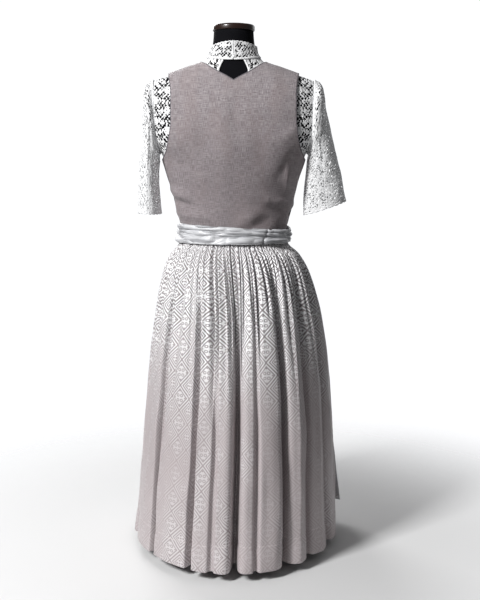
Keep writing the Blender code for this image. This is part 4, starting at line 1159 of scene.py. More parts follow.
def add_lace(name, points, flat, inside, slot_nodes, thickness=0.0008, flip=False):
    """A lace piece from a fine grid and the height of its pattern."""
    relief = np.clip(inside, 0.0, THREAD_FULL) * THREAD_RELIEF
    normal = grid_normals(points)
    if flip:
        normal = -normal
    points = points + normal * relief[..., None]
    corners, triangles, corner_uv = cut_sheet(points, flat, inside)
    if flip:
        triangles = triangles[:, ::-1]
        corner_uv = corner_uv.reshape(-1, 3, 2)[:, ::-1].reshape(-1, 2)
    piece = add_mesh(name, corners, triangles, corner_uv, LACE)
    thicken(piece, thickness)
    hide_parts(*slot_nodes)
    print(name, "triangles:", len(triangles))
    return piece


# %% Lace finish
THREAD_DARK, THREAD_LIGHT = (0.93, 0.935, 0.945), (1.0, 1.0, 1.0)
# grey specks are painted shade in the gaps between threads
PAINTED_GAP_SHADE_COLOR = (0.50, 0.51, 0.54)


def lace_finish():
    finish = Finish("white lace", (0.95, 0.95, 0.955), 0.85, Sheen_Weight=0.2)
    u, v = finish.cloth_axes()
    stitches = ((u + v) * 4300.0).sin() * 0.5 + ((u - v) * 3900.0).sin() * 0.5
    cloud = finish.patches(u * 220.0, v * 220.0, 3.0)
    # painted shade: small grey specks standing for the gaps between threads
    painted_gap_shade = finish.patches(u * 330.0, v * 330.0, 2.0, 2.0).step_up(0.58, 0.04)
    plain = finish.blend(cloud, THREAD_DARK, THREAD_LIGHT)
    finish.wear("Base Color", finish.blend(painted_gap_shade * 0.45, plain, PAINTED_GAP_SHADE_COLOR))
    finish.bump(stitches * 0.15 + cloud * 0.5, 0.0003, 0.5)
    return finish


LACE = lace_finish()
print("lace nodes:", len(LACE.tree.nodes))

# %% Cords
CORD_SIDES = 8


def tube(name, path, radius, finish, closed=False):
    """A round cord along a path of points, such as a piping or a button loop."""
    path = np.asarray(path, float)
    if closed:
        way = unit(np.roll(path, -1, 0) - np.roll(path, 1, 0))
    else:
        way = unit(np.gradient(path, axis=0))
    across = np.zeros_like(path)
    lead = unit(np.cross(way[0], [0.31, 0.47, 0.83]))
    for i, arrow in enumerate(way):
        lead = unit(lead - arrow * np.dot(lead, arrow))
        across[i] = lead
    over = np.cross(way, across)
    turns = full_turn(CORD_SIDES)
    radius = np.broadcast_to(radius, len(path))[:, None, None]
    points = path[:, None] + radius * (np.cos(turns)[None, :, None] * across[:, None]
                                       + np.sin(turns)[None, :, None] * over[:, None])
    flat = flat_ring(0.008, CORD_SIDES, length_along(path))
    if not closed:
        points = np.concatenate([path[:1, None] + 0 * points[:1], points,
                                 path[-1:, None] + 0 * points[-1:]])
        flat = np.concatenate([flat[:1], flat, flat[-1:]])
    return add_grid(name, points, flat, finish, closed=True)


# %% [markdown]
# ## Sleeves
# A sleeve is a tube of rings from the armhole seam to the elbow. The left one hangs straight
# and shows its narrow side, the right one stands out. Each ring's place comes from the same
# table as the solids, read through smooth curves, and the lace's holes are cut through it.

# %% Sleeve tables
LACE_WALL = 0.0010
BLOUSE_EASE = 0.0010
ARMSCYE = [
    # rise, x
    (0.1735, 0.1645),
    (0.1850, 0.1670),
    (0.2150, 0.1715),
    (0.2550, 0.1740),
    (0.3000, 0.1755),
    (0.3310, 0.1765),
]
SLEEVE_LEFT = [
    # under_x, under_rise, outer_x, outer_rise, half_depth
    (0.1725, 0.1670, 0.1925, 0.3290, 0.0640),
    (0.1702, 0.1600, 0.1995, 0.3160, 0.0640),
    (0.1695, 0.1510, 0.2015, 0.2850, 0.0630),
    (0.1710, 0.1390, 0.2035, 0.2480, 0.0610),
    (0.1720, 0.1250, 0.2060, 0.2080, 0.0610),
    (0.1720, 0.1080, 0.2090, 0.1670, 0.0610),
    (0.1705, 0.0870, 0.2125, 0.1250, 0.0605),
    (0.1680, 0.0620, 0.2155, 0.0820, 0.0600),
    (0.1655, 0.0350, 0.2170, 0.0380, 0.0600),
]
SLEEVE_RIGHT = [
    # under_x, under_rise, outer_x, outer_rise, half_depth
    (0.1725, 0.1660, 0.1925, 0.3290, 0.0640),
    (0.1700, 0.1580, 0.1995, 0.3160, 0.0635),
    (0.1670, 0.1480, 0.2040, 0.2830, 0.0610),
    (0.1660, 0.1360, 0.2140, 0.2480, 0.0560),
    (0.1650, 0.1210, 0.2225, 0.2060, 0.0540),
    (0.1635, 0.1040, 0.2335, 0.1620, 0.0510),
    (0.1620, 0.0830, 0.2425, 0.1220, 0.0480),
    (0.1605, 0.0580, 0.2500, 0.0900, 0.0450),
    (0.1600, 0.0320, 0.2570, 0.0640, 0.0430),
]
SLEEVE_SQUARE = 2.2
ARMSCYE_SEAM_OUT = 0.0028
SHOULDER_SEAM_RISE = 0.0025
FRONT_SEAM_OUT = 0.0030
SLEEVE_SEAM_DROP = 0.0004
SLEEVE_CLOTH_WIDTH = 0.300
SLEEVE_CLOTH_LENGTH = 0.235
SLEEVE_COLUMNS = 146
SLEEVE_LINES = 114
SLEEVE_FINER = 1.22
SLEEVE_CLOSER = 0.00020
SLEEVE_OPEN_TO = 0.060
SLEEVE_TOP_LINES = 9
ARMHOLE_SEAM_RADIUS = 0.0021
SEAM_IN = 0.0016
SEAM_STEPS = 160
SCALLOP_PITCH = 0.0135
SCALLOP_DEPTH = 0.0022
ARMSCYE_X = column(ARMSCYE, 0, 1)


def sleeve_start(turn):
    """The sleeve's first ring follows the armhole seam, just outside the blouse."""
    top = ridge_rise(ARMSCYE[-1][1])
    low = ARMSCYE[0][0]
    rise = low + (top - low) * (1 + np.cos(turn)) / 2
    x = np.minimum(ARMSCYE_X(rise), BODY_SIDE(rise))
    facing = np.where(np.sin(turn) >= 0, 1, -1)
    over = SHOULDER_SEAM_RISE * np.maximum(0.0, np.cos(turn)) ** 4
    over += np.where(facing < 0, FRONT_SEAM_OUT * np.maximum(0.0, -np.cos(turn)), 0.0)
    points = moved_out(x, body_y(x, rise, facing), rise, BLOUSE_EASE + LACE_WALL * 0.5 + over)
    points[..., 0] += ARMSCYE_SEAM_OUT + LACE_WALL
    points[..., 2] -= SLEEVE_SEAM_DROP * (1 - np.cos(turn))
    return points


def sleeve_points(table, levels, turns):
    """Rings of the sleeve at levels from 0, the armhole seam, to the table's last row."""
    index = np.arange(len(table)) + 1.0
    rows = np.array(table)
    late = np.maximum(levels, 1.0)[:, None]
    under_x, under_rise, outer_x, outer_rise, half_depth = (
        Curve(index, rows[:, k])(late) for k in range(5))
    along, across = oval(turns[None, :], 1.0, half_depth, SLEEVE_SQUARE)
    rings = np.stack([(under_x + outer_x) / 2 + (outer_x - under_x) / 2 * along,
                      across + 0 * along,
                      WAIST_Z + (under_rise + outer_rise) / 2
                      + (outer_rise - under_rise) / 2 * along], -1)
    start = sleeve_start(turns)[None]
    near = np.clip(levels, 0.0, 1.0)[:, None, None]
    return start * (1 - near) + rings * near


def add_sleeve(name, table, mirror_it, seed, nodes):
    turns = np.linspace(0.5 * math.pi, 2.5 * math.pi, SLEEVE_COLUMNS)
    levels = np.concatenate([
        np.linspace(0.0, 1.0, SLEEVE_TOP_LINES, endpoint=False),
        np.linspace(1.0, len(table), SLEEVE_LINES - SLEEVE_TOP_LINES)])
    points = sleeve_points(table, levels, turns)
    v = length_along(points)
    v *= SLEEVE_CLOTH_LENGTH / v[-1].mean()
    around = length_along(points[SLEEVE_LINES // 2])
    u = around * SLEEVE_CLOTH_WIDTH / around[-1] + 0 * v
    flat = np.stack([u, v], -1)
    wrinkle = value_noise(u * 20.0, v * 20.0, seed) * 0.0020
    wrinkle += value_noise(u * 50.0 + v * 40.0, v * 30.0, seed + 1) * 0.0005
    wrinkle *= smooth(v, 0.01, 0.06)
    points, flat, v = points[::-1], flat[::-1], v[::-1]
    points = points + grid_normals(points) * wrinkle[::-1][..., None]
    end = v[0][None, :]
    scallop = SCALLOP_DEPTH * np.abs(np.sin(math.pi * u / SCALLOP_PITCH))
    edge = (end - SCALLOP_DEPTH + scallop - 0.0001) - v
    inside = lace_height(flat[..., 0] * SLEEVE_FINER, v * SLEEVE_FINER) / SLEEVE_FINER
    closer = 0.8 * smooth(v, SLEEVE_OPEN_TO, SLEEVE_OPEN_TO + 0.04) + 0.5
    inside = inside + SLEEVE_CLOSER * closer
    for band in (0.0013 - np.abs(edge - 0.0016), 0.0012 - np.abs(edge - 0.0085), 0.0022 - v,
                 0.0012 - np.abs(u - 0.5 * SLEEVE_CLOTH_WIDTH)):
        inside = np.maximum(inside, band)
    inside = np.minimum(inside, edge + 0.0006)
    if mirror_it:
        points = points * MIRROR
    sleeve = add_lace(name, points, flat, inside, nodes, flip=mirror_it)


def add_armhole_seam(name, sign):
    """The stitched seam between blouse and sleeve is a soft white ridge."""
    path = sleeve_start(full_turn(SEAM_STEPS)) * [sign, 1.0, 1.0] - [sign * SEAM_IN, 0.0, 0.0]
    tube(f"armhole_seam_{name}", path, ARMHOLE_SEAM_RADIUS, LACE, closed=True)


add_armhole_seam("left", 1)
add_armhole_seam("right", -1)
add_sleeve("sleeve_left", SLEEVE_LEFT, False, 41, ["sleeve_left_back", "sleeve_left_front"])
add_sleeve("sleeve_right", SLEEVE_RIGHT, True, 51, ["sleeve_right_back", "sleeve_right_front"])

# %% [markdown]
# ## Blouse body and stand collar
# The blouse lies close on the form. Each panel fills four edges: the opening or centre, the
# armhole and side seam, the collar and shoulder, and the bottom. `patch` carries the edges
# across the panel, and `draped` lays its flat points on the form.

# %% Blouse tables
COLLAR_BASE = {"back": 0.377, "side": 0.384, "front": 0.366}
COLLAR_TOP = {"back": 0.416, "side": 0.407, "front": 0.398}
COLLAR_SEAM_DROP = 0.0028
COLLAR_FLARE = 0.0012
COLLAR_OPENING_TURN = 0.006
KEYHOLE = [
    # x, rise
    (0.0205, 0.3765),
    (0.0212, 0.3748),
    (0.0232, 0.3705),
    (0.0275, 0.3615),
    (0.0313, 0.3490),
    (0.0220, 0.3350),
    (0.0003, 0.3190),
    (0.0003, 0.2850),
    (0.0003, 0.2400),
    (0.0003, 0.1950),
    (0.0003, 0.1720),
    (0.0003, 0.1500),
    (0.0003, 0.0980),
]
BLOUSE_BOTTOM = 0.098
BLOUSE_ROW_DROPS = [0.0, 0.0015, 0.0060, 0.0150, 0.0360, 0.0580, 0.0800, 0.1020, 0.1240,
                    0.1440, 0.1575, 0.1750, 0.2331]
ARMPIT_SHARE = 0.52


def spread(edge):
    return (edge[:, 0] - edge[0, 0]) / (edge[-1, 0] - edge[0, 0])


def patch(left, right, top, bottom):
    """Fill four edges of (x, rise) points, as the solids do. Rows run down from the top."""
    left, right, top, bottom = (np.asarray(edge, float) for edge in (left, right, top, bottom))
    r = ((top[0, 1] - left[:, 1]) / (top[0, 1] - left[-1, 1]))[:, None]
    q = ((top[-1, 1] - right[:, 1]) / (top[-1, 1] - right[-1, 1]))[:, None]
    low = np.minimum(1.0, q / ARMPIT_SHARE)
    across = (1 - low) * spread(top) + low * spread(bottom)
    s = np.linspace(0.0, 1.0, len(top))[None, :]
    x = left[:, :1] + (right[:, :1] - left[:, :1]) * across
    down = (1 - s) * r + s * q
    rise = (1 - s) * left[:, 1:] + s * right[:, 1:]
    rise = rise + (1 - down) * (top[:, 1] - ((1 - s) * top[0, 1] + s * top[-1, 1]))
    rise = rise + down * (bottom[:, 1] - ((1 - s) * bottom[0, 1] + s * bottom[-1, 1]))
    return x, rise


def draped(x, rise, facing, ease):
    """Points on the form's back (facing 1) or front (facing -1), moved out by the ease."""
    x = np.minimum(x, BODY_SIDE(rise))
    y = body_y(x, rise, facing)
    y = np.where(np.abs(y) < SEAM_GAP, facing * SEAM_GAP, y)
    return moved_out(x, y, rise, ease)


def collar_height(heights, angle):
    s = np.sin(angle)
    end = np.where(s >= 0, heights["back"], heights["front"])
    return heights["side"] + (end - heights["side"]) * s * s


def collar_seam(angle):
    rise = collar_height(COLLAR_BASE, angle) - COLLAR_SEAM_DROP
    x, _ = oval(angle, BODY_SIDE(rise), body_depth(rise, np.where(np.sin(angle) >= 0, 1, -1)), 2.0)
    return np.stack([np.abs(x), rise], -1)


def refine(points, parts):
    """More points along a polyline, evenly spread inside each of its stretches."""
    points = np.asarray(points, float)
    made = []
    for a, b, count in zip(points[:-1], points[1:], parts):
        made.append(a + (b - a) * (np.arange(count) / count)[:, None])
    return np.concatenate(made + [points[-1:]])


# %% Blouse panels
BLOUSE_PARTS = [1, 2, 4, 11, 11, 11, 11, 11, 10, 6, 5, 7]
NECK_COLUMNS = 26
SHOULDER_COLUMNS = 47
BLOUSE_WALL = 0.0007
CLOTH_TOP = 0.40
KEYHOLE_BORDER = 0.0046
CENTRE_BORDER = 0.0010


def blouse_right_edge():
    top = ridge_rise(ARMSCYE[-1][1])
    rises = top - refine([[d] for d in BLOUSE_ROW_DROPS], BLOUSE_PARTS)[:, 0]
    x = np.where(rises > ARMSCYE[0][0], ARMSCYE_X(rises), BODY_SIDE(rises))
    return np.stack([x, rises], -1)


def blouse_top(start, end):
    """From the centre along the collar seam, then along the shoulder to the armhole."""
    neck = collar_seam(np.radians(np.linspace(start, end, NECK_COLUMNS)))
    neck[-1, 1] = ridge_rise(neck[-1, 0])
    x = np.linspace(neck[-1, 0], ARMSCYE[-1][1], SHOULDER_COLUMNS + 1)[1:]
    return np.concatenate([neck, np.stack([x, ridge_rise(x)], -1)])


def add_blouse_panel(name, left, top, facing, mirror_it, nodes, border):
    right = blouse_right_edge()
    turn = np.linspace(0.0, 0.5 * math.pi, len(top))
    bottom = np.stack([BODY_SIDE(BLOUSE_BOTTOM) * np.sin(turn), 0 * turn + BLOUSE_BOTTOM], -1)
    bottom[0] = left[-1]
    x, rise = patch(left, right, top, bottom)
    points = draped(x, rise, facing, BLOUSE_EASE)
    from_left = length_along(points, 1)
    from_right = from_left[:, -1:] - from_left
    v = CLOTH_TOP - rise
    inside = lace_height(from_right + 0.011, v)
    near_collar = np.linalg.norm(points - points[:1], axis=2)
    for band in (0.0018 - from_right, border - from_left, 0.0016 - near_collar):
        inside = np.maximum(inside, band)
    flat = np.stack([from_right, v], -1)
    points, flat, inside = points[::-1], flat[::-1], inside[::-1]
    flip = facing > 0
    if mirror_it:
        points = points * MIRROR
        flip = not flip
    return add_lace(name, points, flat, inside, nodes, BLOUSE_WALL, flip)


def add_blouse():
    keyhole = np.array(KEYHOLE)
    parts = np.array(BLOUSE_PARTS)
    curve = refine(keyhole, parts)
    bend = slice(0, int(parts[:6].sum()) + 1)
    rounded = Curve(keyhole[::-1, 1], keyhole[::-1, 0])
    curve[bend, 0] = rounded(curve[bend, 1])
    top = blouse_top(66.0, 0.0)
    curve[0] = top[0]
    for name, mirror_it in (("blouse_left", False), ("blouse_right", True)):
        node = name.replace("blouse_", "blouse_back_")
        panel = add_blouse_panel(name, curve, top, 1, mirror_it, [node], KEYHOLE_BORDER)
    top = blouse_top(270.0, 360.0)
    top[0, 0] = 0.0
    right = blouse_right_edge()
    share = (right[0, 1] - right[:, 1]) / (right[0, 1] - BLOUSE_BOTTOM)
    centre = np.stack([0 * share, top[0, 1] + (BLOUSE_BOTTOM - top[0, 1]) * share], -1)
    for name, mirror_it in (("blouse_front_left", False), ("blouse_front_right", True)):
        panel = add_blouse_panel(name, centre, top, -1, mirror_it, ["blouse_front"],
                                 CENTRE_BORDER)


add_blouse()

# %% Collar with its button and loop
COLLAR_COLUMNS = 246
COLLAR_LINES = 26
COLLAR_SEAM_EASE = 0.0021
COLLAR_SEAM_RADIUS = 0.0020
COLLAR_FINER = 1.25
COLLAR_BUTTON_RADIUS = 0.0038
COLLAR_BUTTON_SIDES = 28


def add_collar():
    share = np.linspace(0.0, 1.0, COLLAR_LINES)[:, None]
    opening = COLLAR_OPENING_TURN
    angle = np.linspace(math.pi / 2 + opening, 2.5 * math.pi - opening, COLLAR_COLUMNS)[None, :]
    low, high = collar_height(COLLAR_BASE, angle), collar_height(COLLAR_TOP, angle)
    rise = low + (high - low) * share
    ease = BLOUSE_EASE + COLLAR_FLARE * share + 0 * angle
    ease = ease + value_noise(angle * 7.0 + 0 * share, share * 3.0 + 0 * angle, 61) * 0.0008
    points = body_ring(angle + 0 * share, rise, ease + 0.0004)
    u = length_along(points[COLLAR_LINES // 2])
    v = (rise - low) + 0 * angle
    flat = np.stack([u + 0 * v, v], -1)
    end = (high - low) - 0.0010 * np.abs(np.sin(math.pi * u / 0.009))
    inside = lace_height(u * COLLAR_FINER + 0 * v, v * COLLAR_FINER + 0.012) * 0.8
    for band in (0.0012 - np.abs(v - 0.0004), 0.0011 - np.abs(v - end + 0.0012),
                 0.0030 - np.minimum(u, u[-1] - u)):
        inside = np.maximum(inside, band)
    inside = np.minimum(inside, end - v)
    collar = add_lace("stand_collar", points, flat, inside, ["collar"])


def add_collar_button():
    rise = COLLAR_BASE["back"] + 0.004
    seat = body_ring(np.array(math.pi / 2), np.array(rise), np.array(BLOUSE_EASE + 0.0022))
    sides = COLLAR_BUTTON_SIDES
    outline = [(COLLAR_BUTTON_RADIUS, 0.0), (COLLAR_BUTTON_RADIUS, 0.0009)]
    outline += [(COLLAR_BUTTON_RADIUS * math.cos(t), 0.0009 + 0.0019 * math.sin(t))
                for t in np.radians([15, 30, 45, 60, 75, 88])]
    outline = np.array(outline)
    angles = full_turn(sides)
    points = np.stack([-outline[:, :1] * np.cos(angles), np.repeat(outline[:, 1:], sides, 1),
                       outline[:, :1] * np.sin(angles)], -1) + seat
    flat = flat_ring(0.024, sides, outline[:, 1])
    button = add_grid("collar_pearl", points, flat, LACE, closed=True)
    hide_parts("collar_button")
    turns = np.linspace(-2.4, 2.4, 30)
    loop = np.stack([-0.0050 * np.cos(turns), seat[1] + 0.0004 + 0 * turns,
                     seat[2] + 0.0052 * np.sin(turns)], -1)
    tube("collar_loop", loop, 0.0006, LACE)


def add_collar_seam():
    turns = np.linspace(0.5 * math.pi + 0.02, 2.5 * math.pi - 0.02, 200)
    rise = collar_height(COLLAR_BASE, turns) - COLLAR_SEAM_DROP * 0.5
    path = body_ring(turns, rise, COLLAR_SEAM_EASE + 0 * turns)
    tube("collar_seam", path, COLLAR_SEAM_RADIUS, LACE)


add_collar()
add_collar_seam()
add_collar_button()

# %% [markdown]
# ## Bodice
# The bodice back is one panel with a V neckline, and two front panels meet under the buttons.
# Their edges come from the same tables as the solids, with more rows between. The linen is
# stiff, so it keeps a few soft folds where it is pulled: `CREASES` lists each as a line with a
# width and a height, and a negative height is a hollow.

# %% Bodice tables
BODICE_EASE = 0.0054
LINEN_WALL = 0.0015
CREASE_GAIN = 2.4
CRUMPLE = 0.0013
BODICE_ARMHOLE = [
    # rise, x
    (0.1570, 0.1555),
    (0.1680, 0.1490),
    (0.1850, 0.1425),
    (0.2100, 0.1368),
    (0.2400, 0.1340),
    (0.2900, 0.1342),
    (0.3200, 0.1365),
    (0.3435, 0.1420),
]
BODICE_TIP_X = 0.1420
BODICE_NECK_X = 0.0720
V_POINT_RISE = 0.3270
BODICE_BOTTOM = 0.0016
BACK_EDGE = [
    # share of the V's edge, or None and the centre's rise
    (0.000, None), (0.023, None), (0.085, None), (0.190, None), (0.360, None), (0.660, None),
    (1.000, None), (None, 0.2700), (None, 0.2120), (None, 0.1850), (None, 0.1700),
    (None, 0.1540), (None, 0.0940), (None, 0.0400), (None, BODICE_BOTTOM),
]
BACK_DROPS = [0.0, 0.0015, 0.0060, 0.0135, 0.0260, 0.0460, 0.0700, 0.1060, 0.1480, 0.1650,
              0.1775, 0.1845, 0.2475, 0.3015, 0.3415]
FRONT_NECKLINE = [
    # x, rise
    (0.0720, 0.3680),
    (0.0714, 0.3666),
    (0.0706, 0.3622),
    (0.0699, 0.3535),
    (0.0690, 0.3390),
    (0.0672, 0.3150),
    (0.0620, 0.2830),
    (0.0440, 0.2450),
    (0.0003, 0.2150),
    (0.0003, 0.1900),
    (0.0003, 0.1720),
    (0.0003, 0.1550),
    (0.0003, 0.0940),
    (0.0003, 0.0400),
    (0.0003, BODICE_BOTTOM),
]
FRONT_DROPS = [0.0, 0.0015, 0.0060, 0.0150, 0.0300, 0.0540, 0.0860, 0.1180, 0.1480, 0.1650,
               0.1775, 0.1845, 0.2475, 0.3015, 0.3415]
PIPING_RADIUS = 0.0015
PIPING_OUT = 0.0008
BODICE_PARTS = [1, 2, 3, 4, 6, 8, 11, 12, 8, 5, 5, 16, 14, 10]
BODICE_COLUMNS = 68
CREASES = [
    # facing, x and rise of one end, x and rise of the other, half width, height
    (1, (0.131, 0.092), (0.100, 0.074), 0.0085, 0.0034),
    (1, (0.133, 0.070), (0.088, 0.058), 0.0060, -0.0016),
    (1, (0.122, 0.040), (0.060, 0.030), 0.0075, 0.0016),
    (1, (-0.004, 0.004), (-0.066, 0.057), 0.0150, 0.0015),
    (1, (-0.030, 0.006), (-0.090, 0.036), 0.0120, -0.0012),
    (1, (-0.050, 0.060), (-0.132, 0.034), 0.0110, -0.0020),
    (1, (-0.075, 0.073), (-0.134, 0.056), 0.0090, 0.0020),
    (1, (-0.115, 0.150), (-0.112, 0.088), 0.0050, 0.0016),
    (1, (-0.128, 0.175), (-0.098, 0.120), 0.0100, -0.0014),
    (1, (-0.141, 0.230), (-0.100, 0.200), 0.0110, 0.0012),
    (1, (0.141, 0.215), (0.112, 0.165), 0.0110, 0.0014),
    (1, (0.018, 0.300), (0.014, 0.110), 0.0200, 0.0009),
    (1, (-0.060, 0.280), (-0.055, 0.140), 0.0220, -0.0008),
    (1, (0.070, 0.290), (0.065, 0.150), 0.0200, -0.0008),
    (1, (0.030, 0.012), (0.075, 0.048), 0.0060, 0.0014),
    (-1, (0.060, 0.220), (0.130, 0.150), 0.0120, 0.0020),
    (-1, (-0.060, 0.220), (-0.130, 0.150), 0.0120, 0.0020),
    (-1, (0.030, 0.020), (0.110, 0.045), 0.0080, 0.0018),
    (-1, (-0.030, 0.030), (-0.110, 0.020), 0.0080, 0.0018),
]


# %% Linen finish
# painted shade: the linen is darker below this height, towards the waist
PAINTED_SHADE_HEIGHT = 0.93
PAINTED_SHADE_COLOR = (0.170, 0.140, 0.148)
YARN_DARK, YARN_LIGHT = (0.235, 0.198, 0.208), (0.500, 0.450, 0.466)
SLUB_COLOR = (0.560, 0.490, 0.490)
WARM_COLOR = (0.375, 0.300, 0.298)


def linen_finish():
    finish = Finish("taupe linen", (0.36, 0.30, 0.31), 0.62, Sheen_Weight=0.12)
    u, v = finish.cloth_axes()
    lengthwise = finish.patches(u * 1200.0, v * 75.0, 3.0)
    crosswise = finish.patches(u * 75.0, v * 1200.0, 3.0, 4.0)
    slub = finish.patches(u * 20.0, v * 520.0, 2.0, 3.0)
    warm = finish.patches(u * 26.0, v * 9.0, 3.0, 8.0)
    threads = (lengthwise + crosswise - 1.0) * 3.3 + 0.5
    plain = finish.blend(threads, YARN_DARK, YARN_LIGHT)
    streaked = finish.blend(slub.step_up(0.60, 0.06) * 0.40, plain, SLUB_COLOR)
    toned = finish.blend(warm.step_up(0.54, 0.10) * 0.35, streaked, WARM_COLOR)
    # painted shade on the lower bodice, darker towards the waist
    height = finish.axes(finish.place())[2]
    deep = height.step_down(PAINTED_SHADE_HEIGHT, 0.12) * 0.42
    finish.wear("Base Color", finish.blend(deep, toned, PAINTED_SHADE_COLOR))
    finish.wear("Roughness", 0.70 - threads * 0.12)
    weave = (u * 5600.0).sin() * (v * 5600.0).sin()
    finish.bump(threads * 0.8 + weave * 0.3 + slub * 0.5, 0.0006, 0.8)
    return finish


def piping_finish():
    finish = Finish("dark piping", (0.165, 0.150, 0.165), 0.6)
    u, v = finish.cloth_axes()
    finish.bump((v * 4200.0 + u * 2600.0).sin(), 0.0002, 0.6)
    return finish


PIPING = piping_finish()
LINEN = linen_finish()
print("linen nodes:", len(LINEN.tree.nodes), "piping nodes:", len(PIPING.tree.nodes))


def crease_height(x, rise, facing):
    """Metres that the cloth stands out at a place, from the table of creases."""
    height = value_noise(x * 34.0 + 9, rise * 26.0 + 5, 71) * CRUMPLE
    for side, start, end, width, tall in CREASES:
        if side != facing:
            continue
        way = np.subtract(end, start)
        t = np.clip(((x - start[0]) * way[0] + (rise - start[1]) * way[1]) / (way @ way), 0, 1)
        off = np.hypot(x - start[0] - way[0] * t, rise - start[1] - way[1] * t)
        along = 0.35 + 0.65 * np.sin(math.pi * np.clip(t, 0.08, 0.92))
        height = height + CREASE_GAIN * tall * np.exp(-(off / width) ** 2) * along
    return height


# %% Bodice panels
def bodice_half(left, drops, facing):
    """Half a bodice panel, rows downwards and columns outwards: x, rise and points."""
    armhole = column(BODICE_ARMHOLE, 0, 1)
    rises = ridge_rise(BODICE_TIP_X) - refine([[d] for d in drops], BODICE_PARTS)[:, 0]
    rises = np.maximum(rises, BODICE_BOTTOM)
    x = np.where(rises >= BODICE_ARMHOLE[0][0], armhole(rises), BODY_SIDE(rises))
    right = np.stack([np.minimum(x, BODY_SIDE(rises)), rises], -1)
    top_x = np.linspace(BODICE_NECK_X, BODICE_TIP_X, BODICE_COLUMNS)
    top = np.stack([top_x, ridge_rise(top_x)], -1)
    turn = np.linspace(0.0, 0.5 * math.pi, BODICE_COLUMNS)
    bottom = np.stack([BODY_SIDE(BODICE_BOTTOM) * np.sin(turn), 0 * turn + BODICE_BOTTOM], -1)
    left = refine(left, BODICE_PARTS)
    bottom[0] = left[-1]
    x, rise = patch(left, right, top, bottom)
    return x, rise, draped(x, rise, facing, BODICE_EASE)


def crumpled(points, x, rise, facing, mirror_it=False):
    """Move a half panel's points by the creases, less near the waist and the shoulder."""
    keep = smooth(rise, BODICE_BOTTOM, BODICE_BOTTOM + 0.012)
    keep = keep * smooth(ridge_rise(x) - rise, 0.0, 0.02)
    out = outward(points[..., 0], points[..., 1], rise)
    sign = -1.0 if mirror_it else 1.0
    points = points + out * (crease_height(sign * x, rise, facing) * keep)[..., None]
    return points * np.array([sign, 1.0, 1.0])


ARC_RISE = 0.20
ARC_X = np.linspace(0.0, float(BODY_SIDE(ARC_RISE)) - 1e-5, 200)
ARC_LENGTH = length_along(np.stack([ARC_X, body_y(ARC_X, ARC_RISE, 1)], -1))


def straight_grain(x, rise):
    """Cloth coordinates along the linen's threads, which run level and upright."""
    return np.stack([np.interp(x, ARC_X, ARC_LENGTH), CLOTH_TOP - rise], -1)


def piping(name, path, moved):
    tube(name, path + moved, PIPING_RADIUS, PIPING)


def add_bodice_back():
    """Two mirrored halves with one shared column below the V's point."""
    neck = np.array([BODICE_NECK_X, ridge_rise(BODICE_NECK_X)])
    v_point = np.array([0.0, V_POINT_RISE])
    left = [neck + (v_point - neck) * share if share is not None else np.array([0.0, centre])
            for share, centre in BACK_EDGE]
    x, rise, half = bodice_half(left, BACK_DROPS, 1)
    flat = straight_grain(x, rise)
    halves = [crumpled(half, x, rise, 1), crumpled(half, x, rise, 1, True)]
    number = np.arange(x.size).reshape(x.shape)
    other = number + x.size
    joined = rise[:, 0] <= V_POINT_RISE + 1e-6
    other[joined, 0] = number[joined, 0]
    faces, _ = grid_faces(*x.shape, False)
    faces = np.concatenate([faces, other.ravel()[faces][:, ::-1]])
    points = np.concatenate([part.reshape(-1, 3) for part in halves])
    flats = np.concatenate([flat.reshape(-1, 2), (flat * [-1, 1]).reshape(-1, 2)])
    used, compact = np.unique(faces, return_inverse=True)
    back = add_mesh("bodice_back_panel", points[used], compact.reshape(-1, 4),
                    flats[faces.ravel()], LINEN)
    thicken(back, LINEN_WALL)
    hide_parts("bodice_back")
    top = np.count_nonzero(~joined) + 1
    edge = np.concatenate([halves[0][:top, 0], halves[1][:top - 1, 0][::-1]])
    piping("piping_back_neck", edge, [0.0, LINEN_WALL * 0.5, 0.0])
    return halves, rise


def add_bodice_fronts():
    left = [np.array(spot) for spot in FRONT_NECKLINE]
    left[0] = np.array([BODICE_NECK_X, ridge_rise(BODICE_NECK_X)])
    x, rise, half = bodice_half(left, FRONT_DROPS, -1)
    flat = straight_grain(x, rise)
    halves = []
    for name, mirror_it in (("left", False), ("right", True)):
        points = crumpled(half, x, rise, -1, mirror_it)
        front = add_grid(f"bodice_front_{name}_panel", points, flat, LINEN,
                         flip=not mirror_it)
        thicken(front, LINEN_WALL)
        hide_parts(f"bodice_front_{name}")
        open_rows = np.count_nonzero(rise[:, 0] > FRONT_NECKLINE[8][1] - 1e-6)
        piping(f"piping_front_neck_{name}", points[:open_rows, 0], [0.0, -PIPING_OUT, 0.0])
        halves.append(points)
    return halves, rise


def add_armhole_piping(backs, back_rise, fronts, front_rise):
    for name, sign, back, front in zip(("left", "right"), (1, -1), backs, fronts):
        upper_back = back[back_rise[:, -1] >= BODICE_ARMHOLE[0][0], -1]
        upper_front = front[front_rise[:, -1] >= BODICE_ARMHOLE[0][0], -1]
        loop = np.concatenate([upper_back[::-1], upper_front[1:]])
        piping(f"piping_armhole_{name}", loop, [sign * PIPING_OUT, 0.0, 0.0])


# %% Front buttons
BUTTON_COUNT = 7
BUTTON_RADIUS = 0.0055
BUTTON_HEIGHT = 0.0042
BUTTON_EDGE = 0.0010
BUTTON_SEAT = 0.0006
BUTTON_SIDES = 48
BUTTON_MIDDLE = 0.70
BUTTON_PETALS = 8
FIRST_BUTTON_RISE = 0.022
LAST_BUTTON_RISE = 0.203


def button_outline():
    """Radius and height of a pewter button with a rim, a groove and a raised middle."""
    outline = [(BUTTON_RADIUS * 0.96, 0.0), (BUTTON_RADIUS, 0.0004), (BUTTON_RADIUS, 0.0011)]
    outline += arc((BUTTON_RADIUS - 0.0008, 0.0011), 0.0008, 10, 150, 6)
    dome = BUTTON_RADIUS * BUTTON_MIDDLE
    outline += [(dome * math.cos(t), 0.0014 + (BUTTON_HEIGHT - 0.0014) * math.sin(t))
                for t in np.radians([0, 12, 25, 40, 55, 70, 84])]
    return np.array(outline)


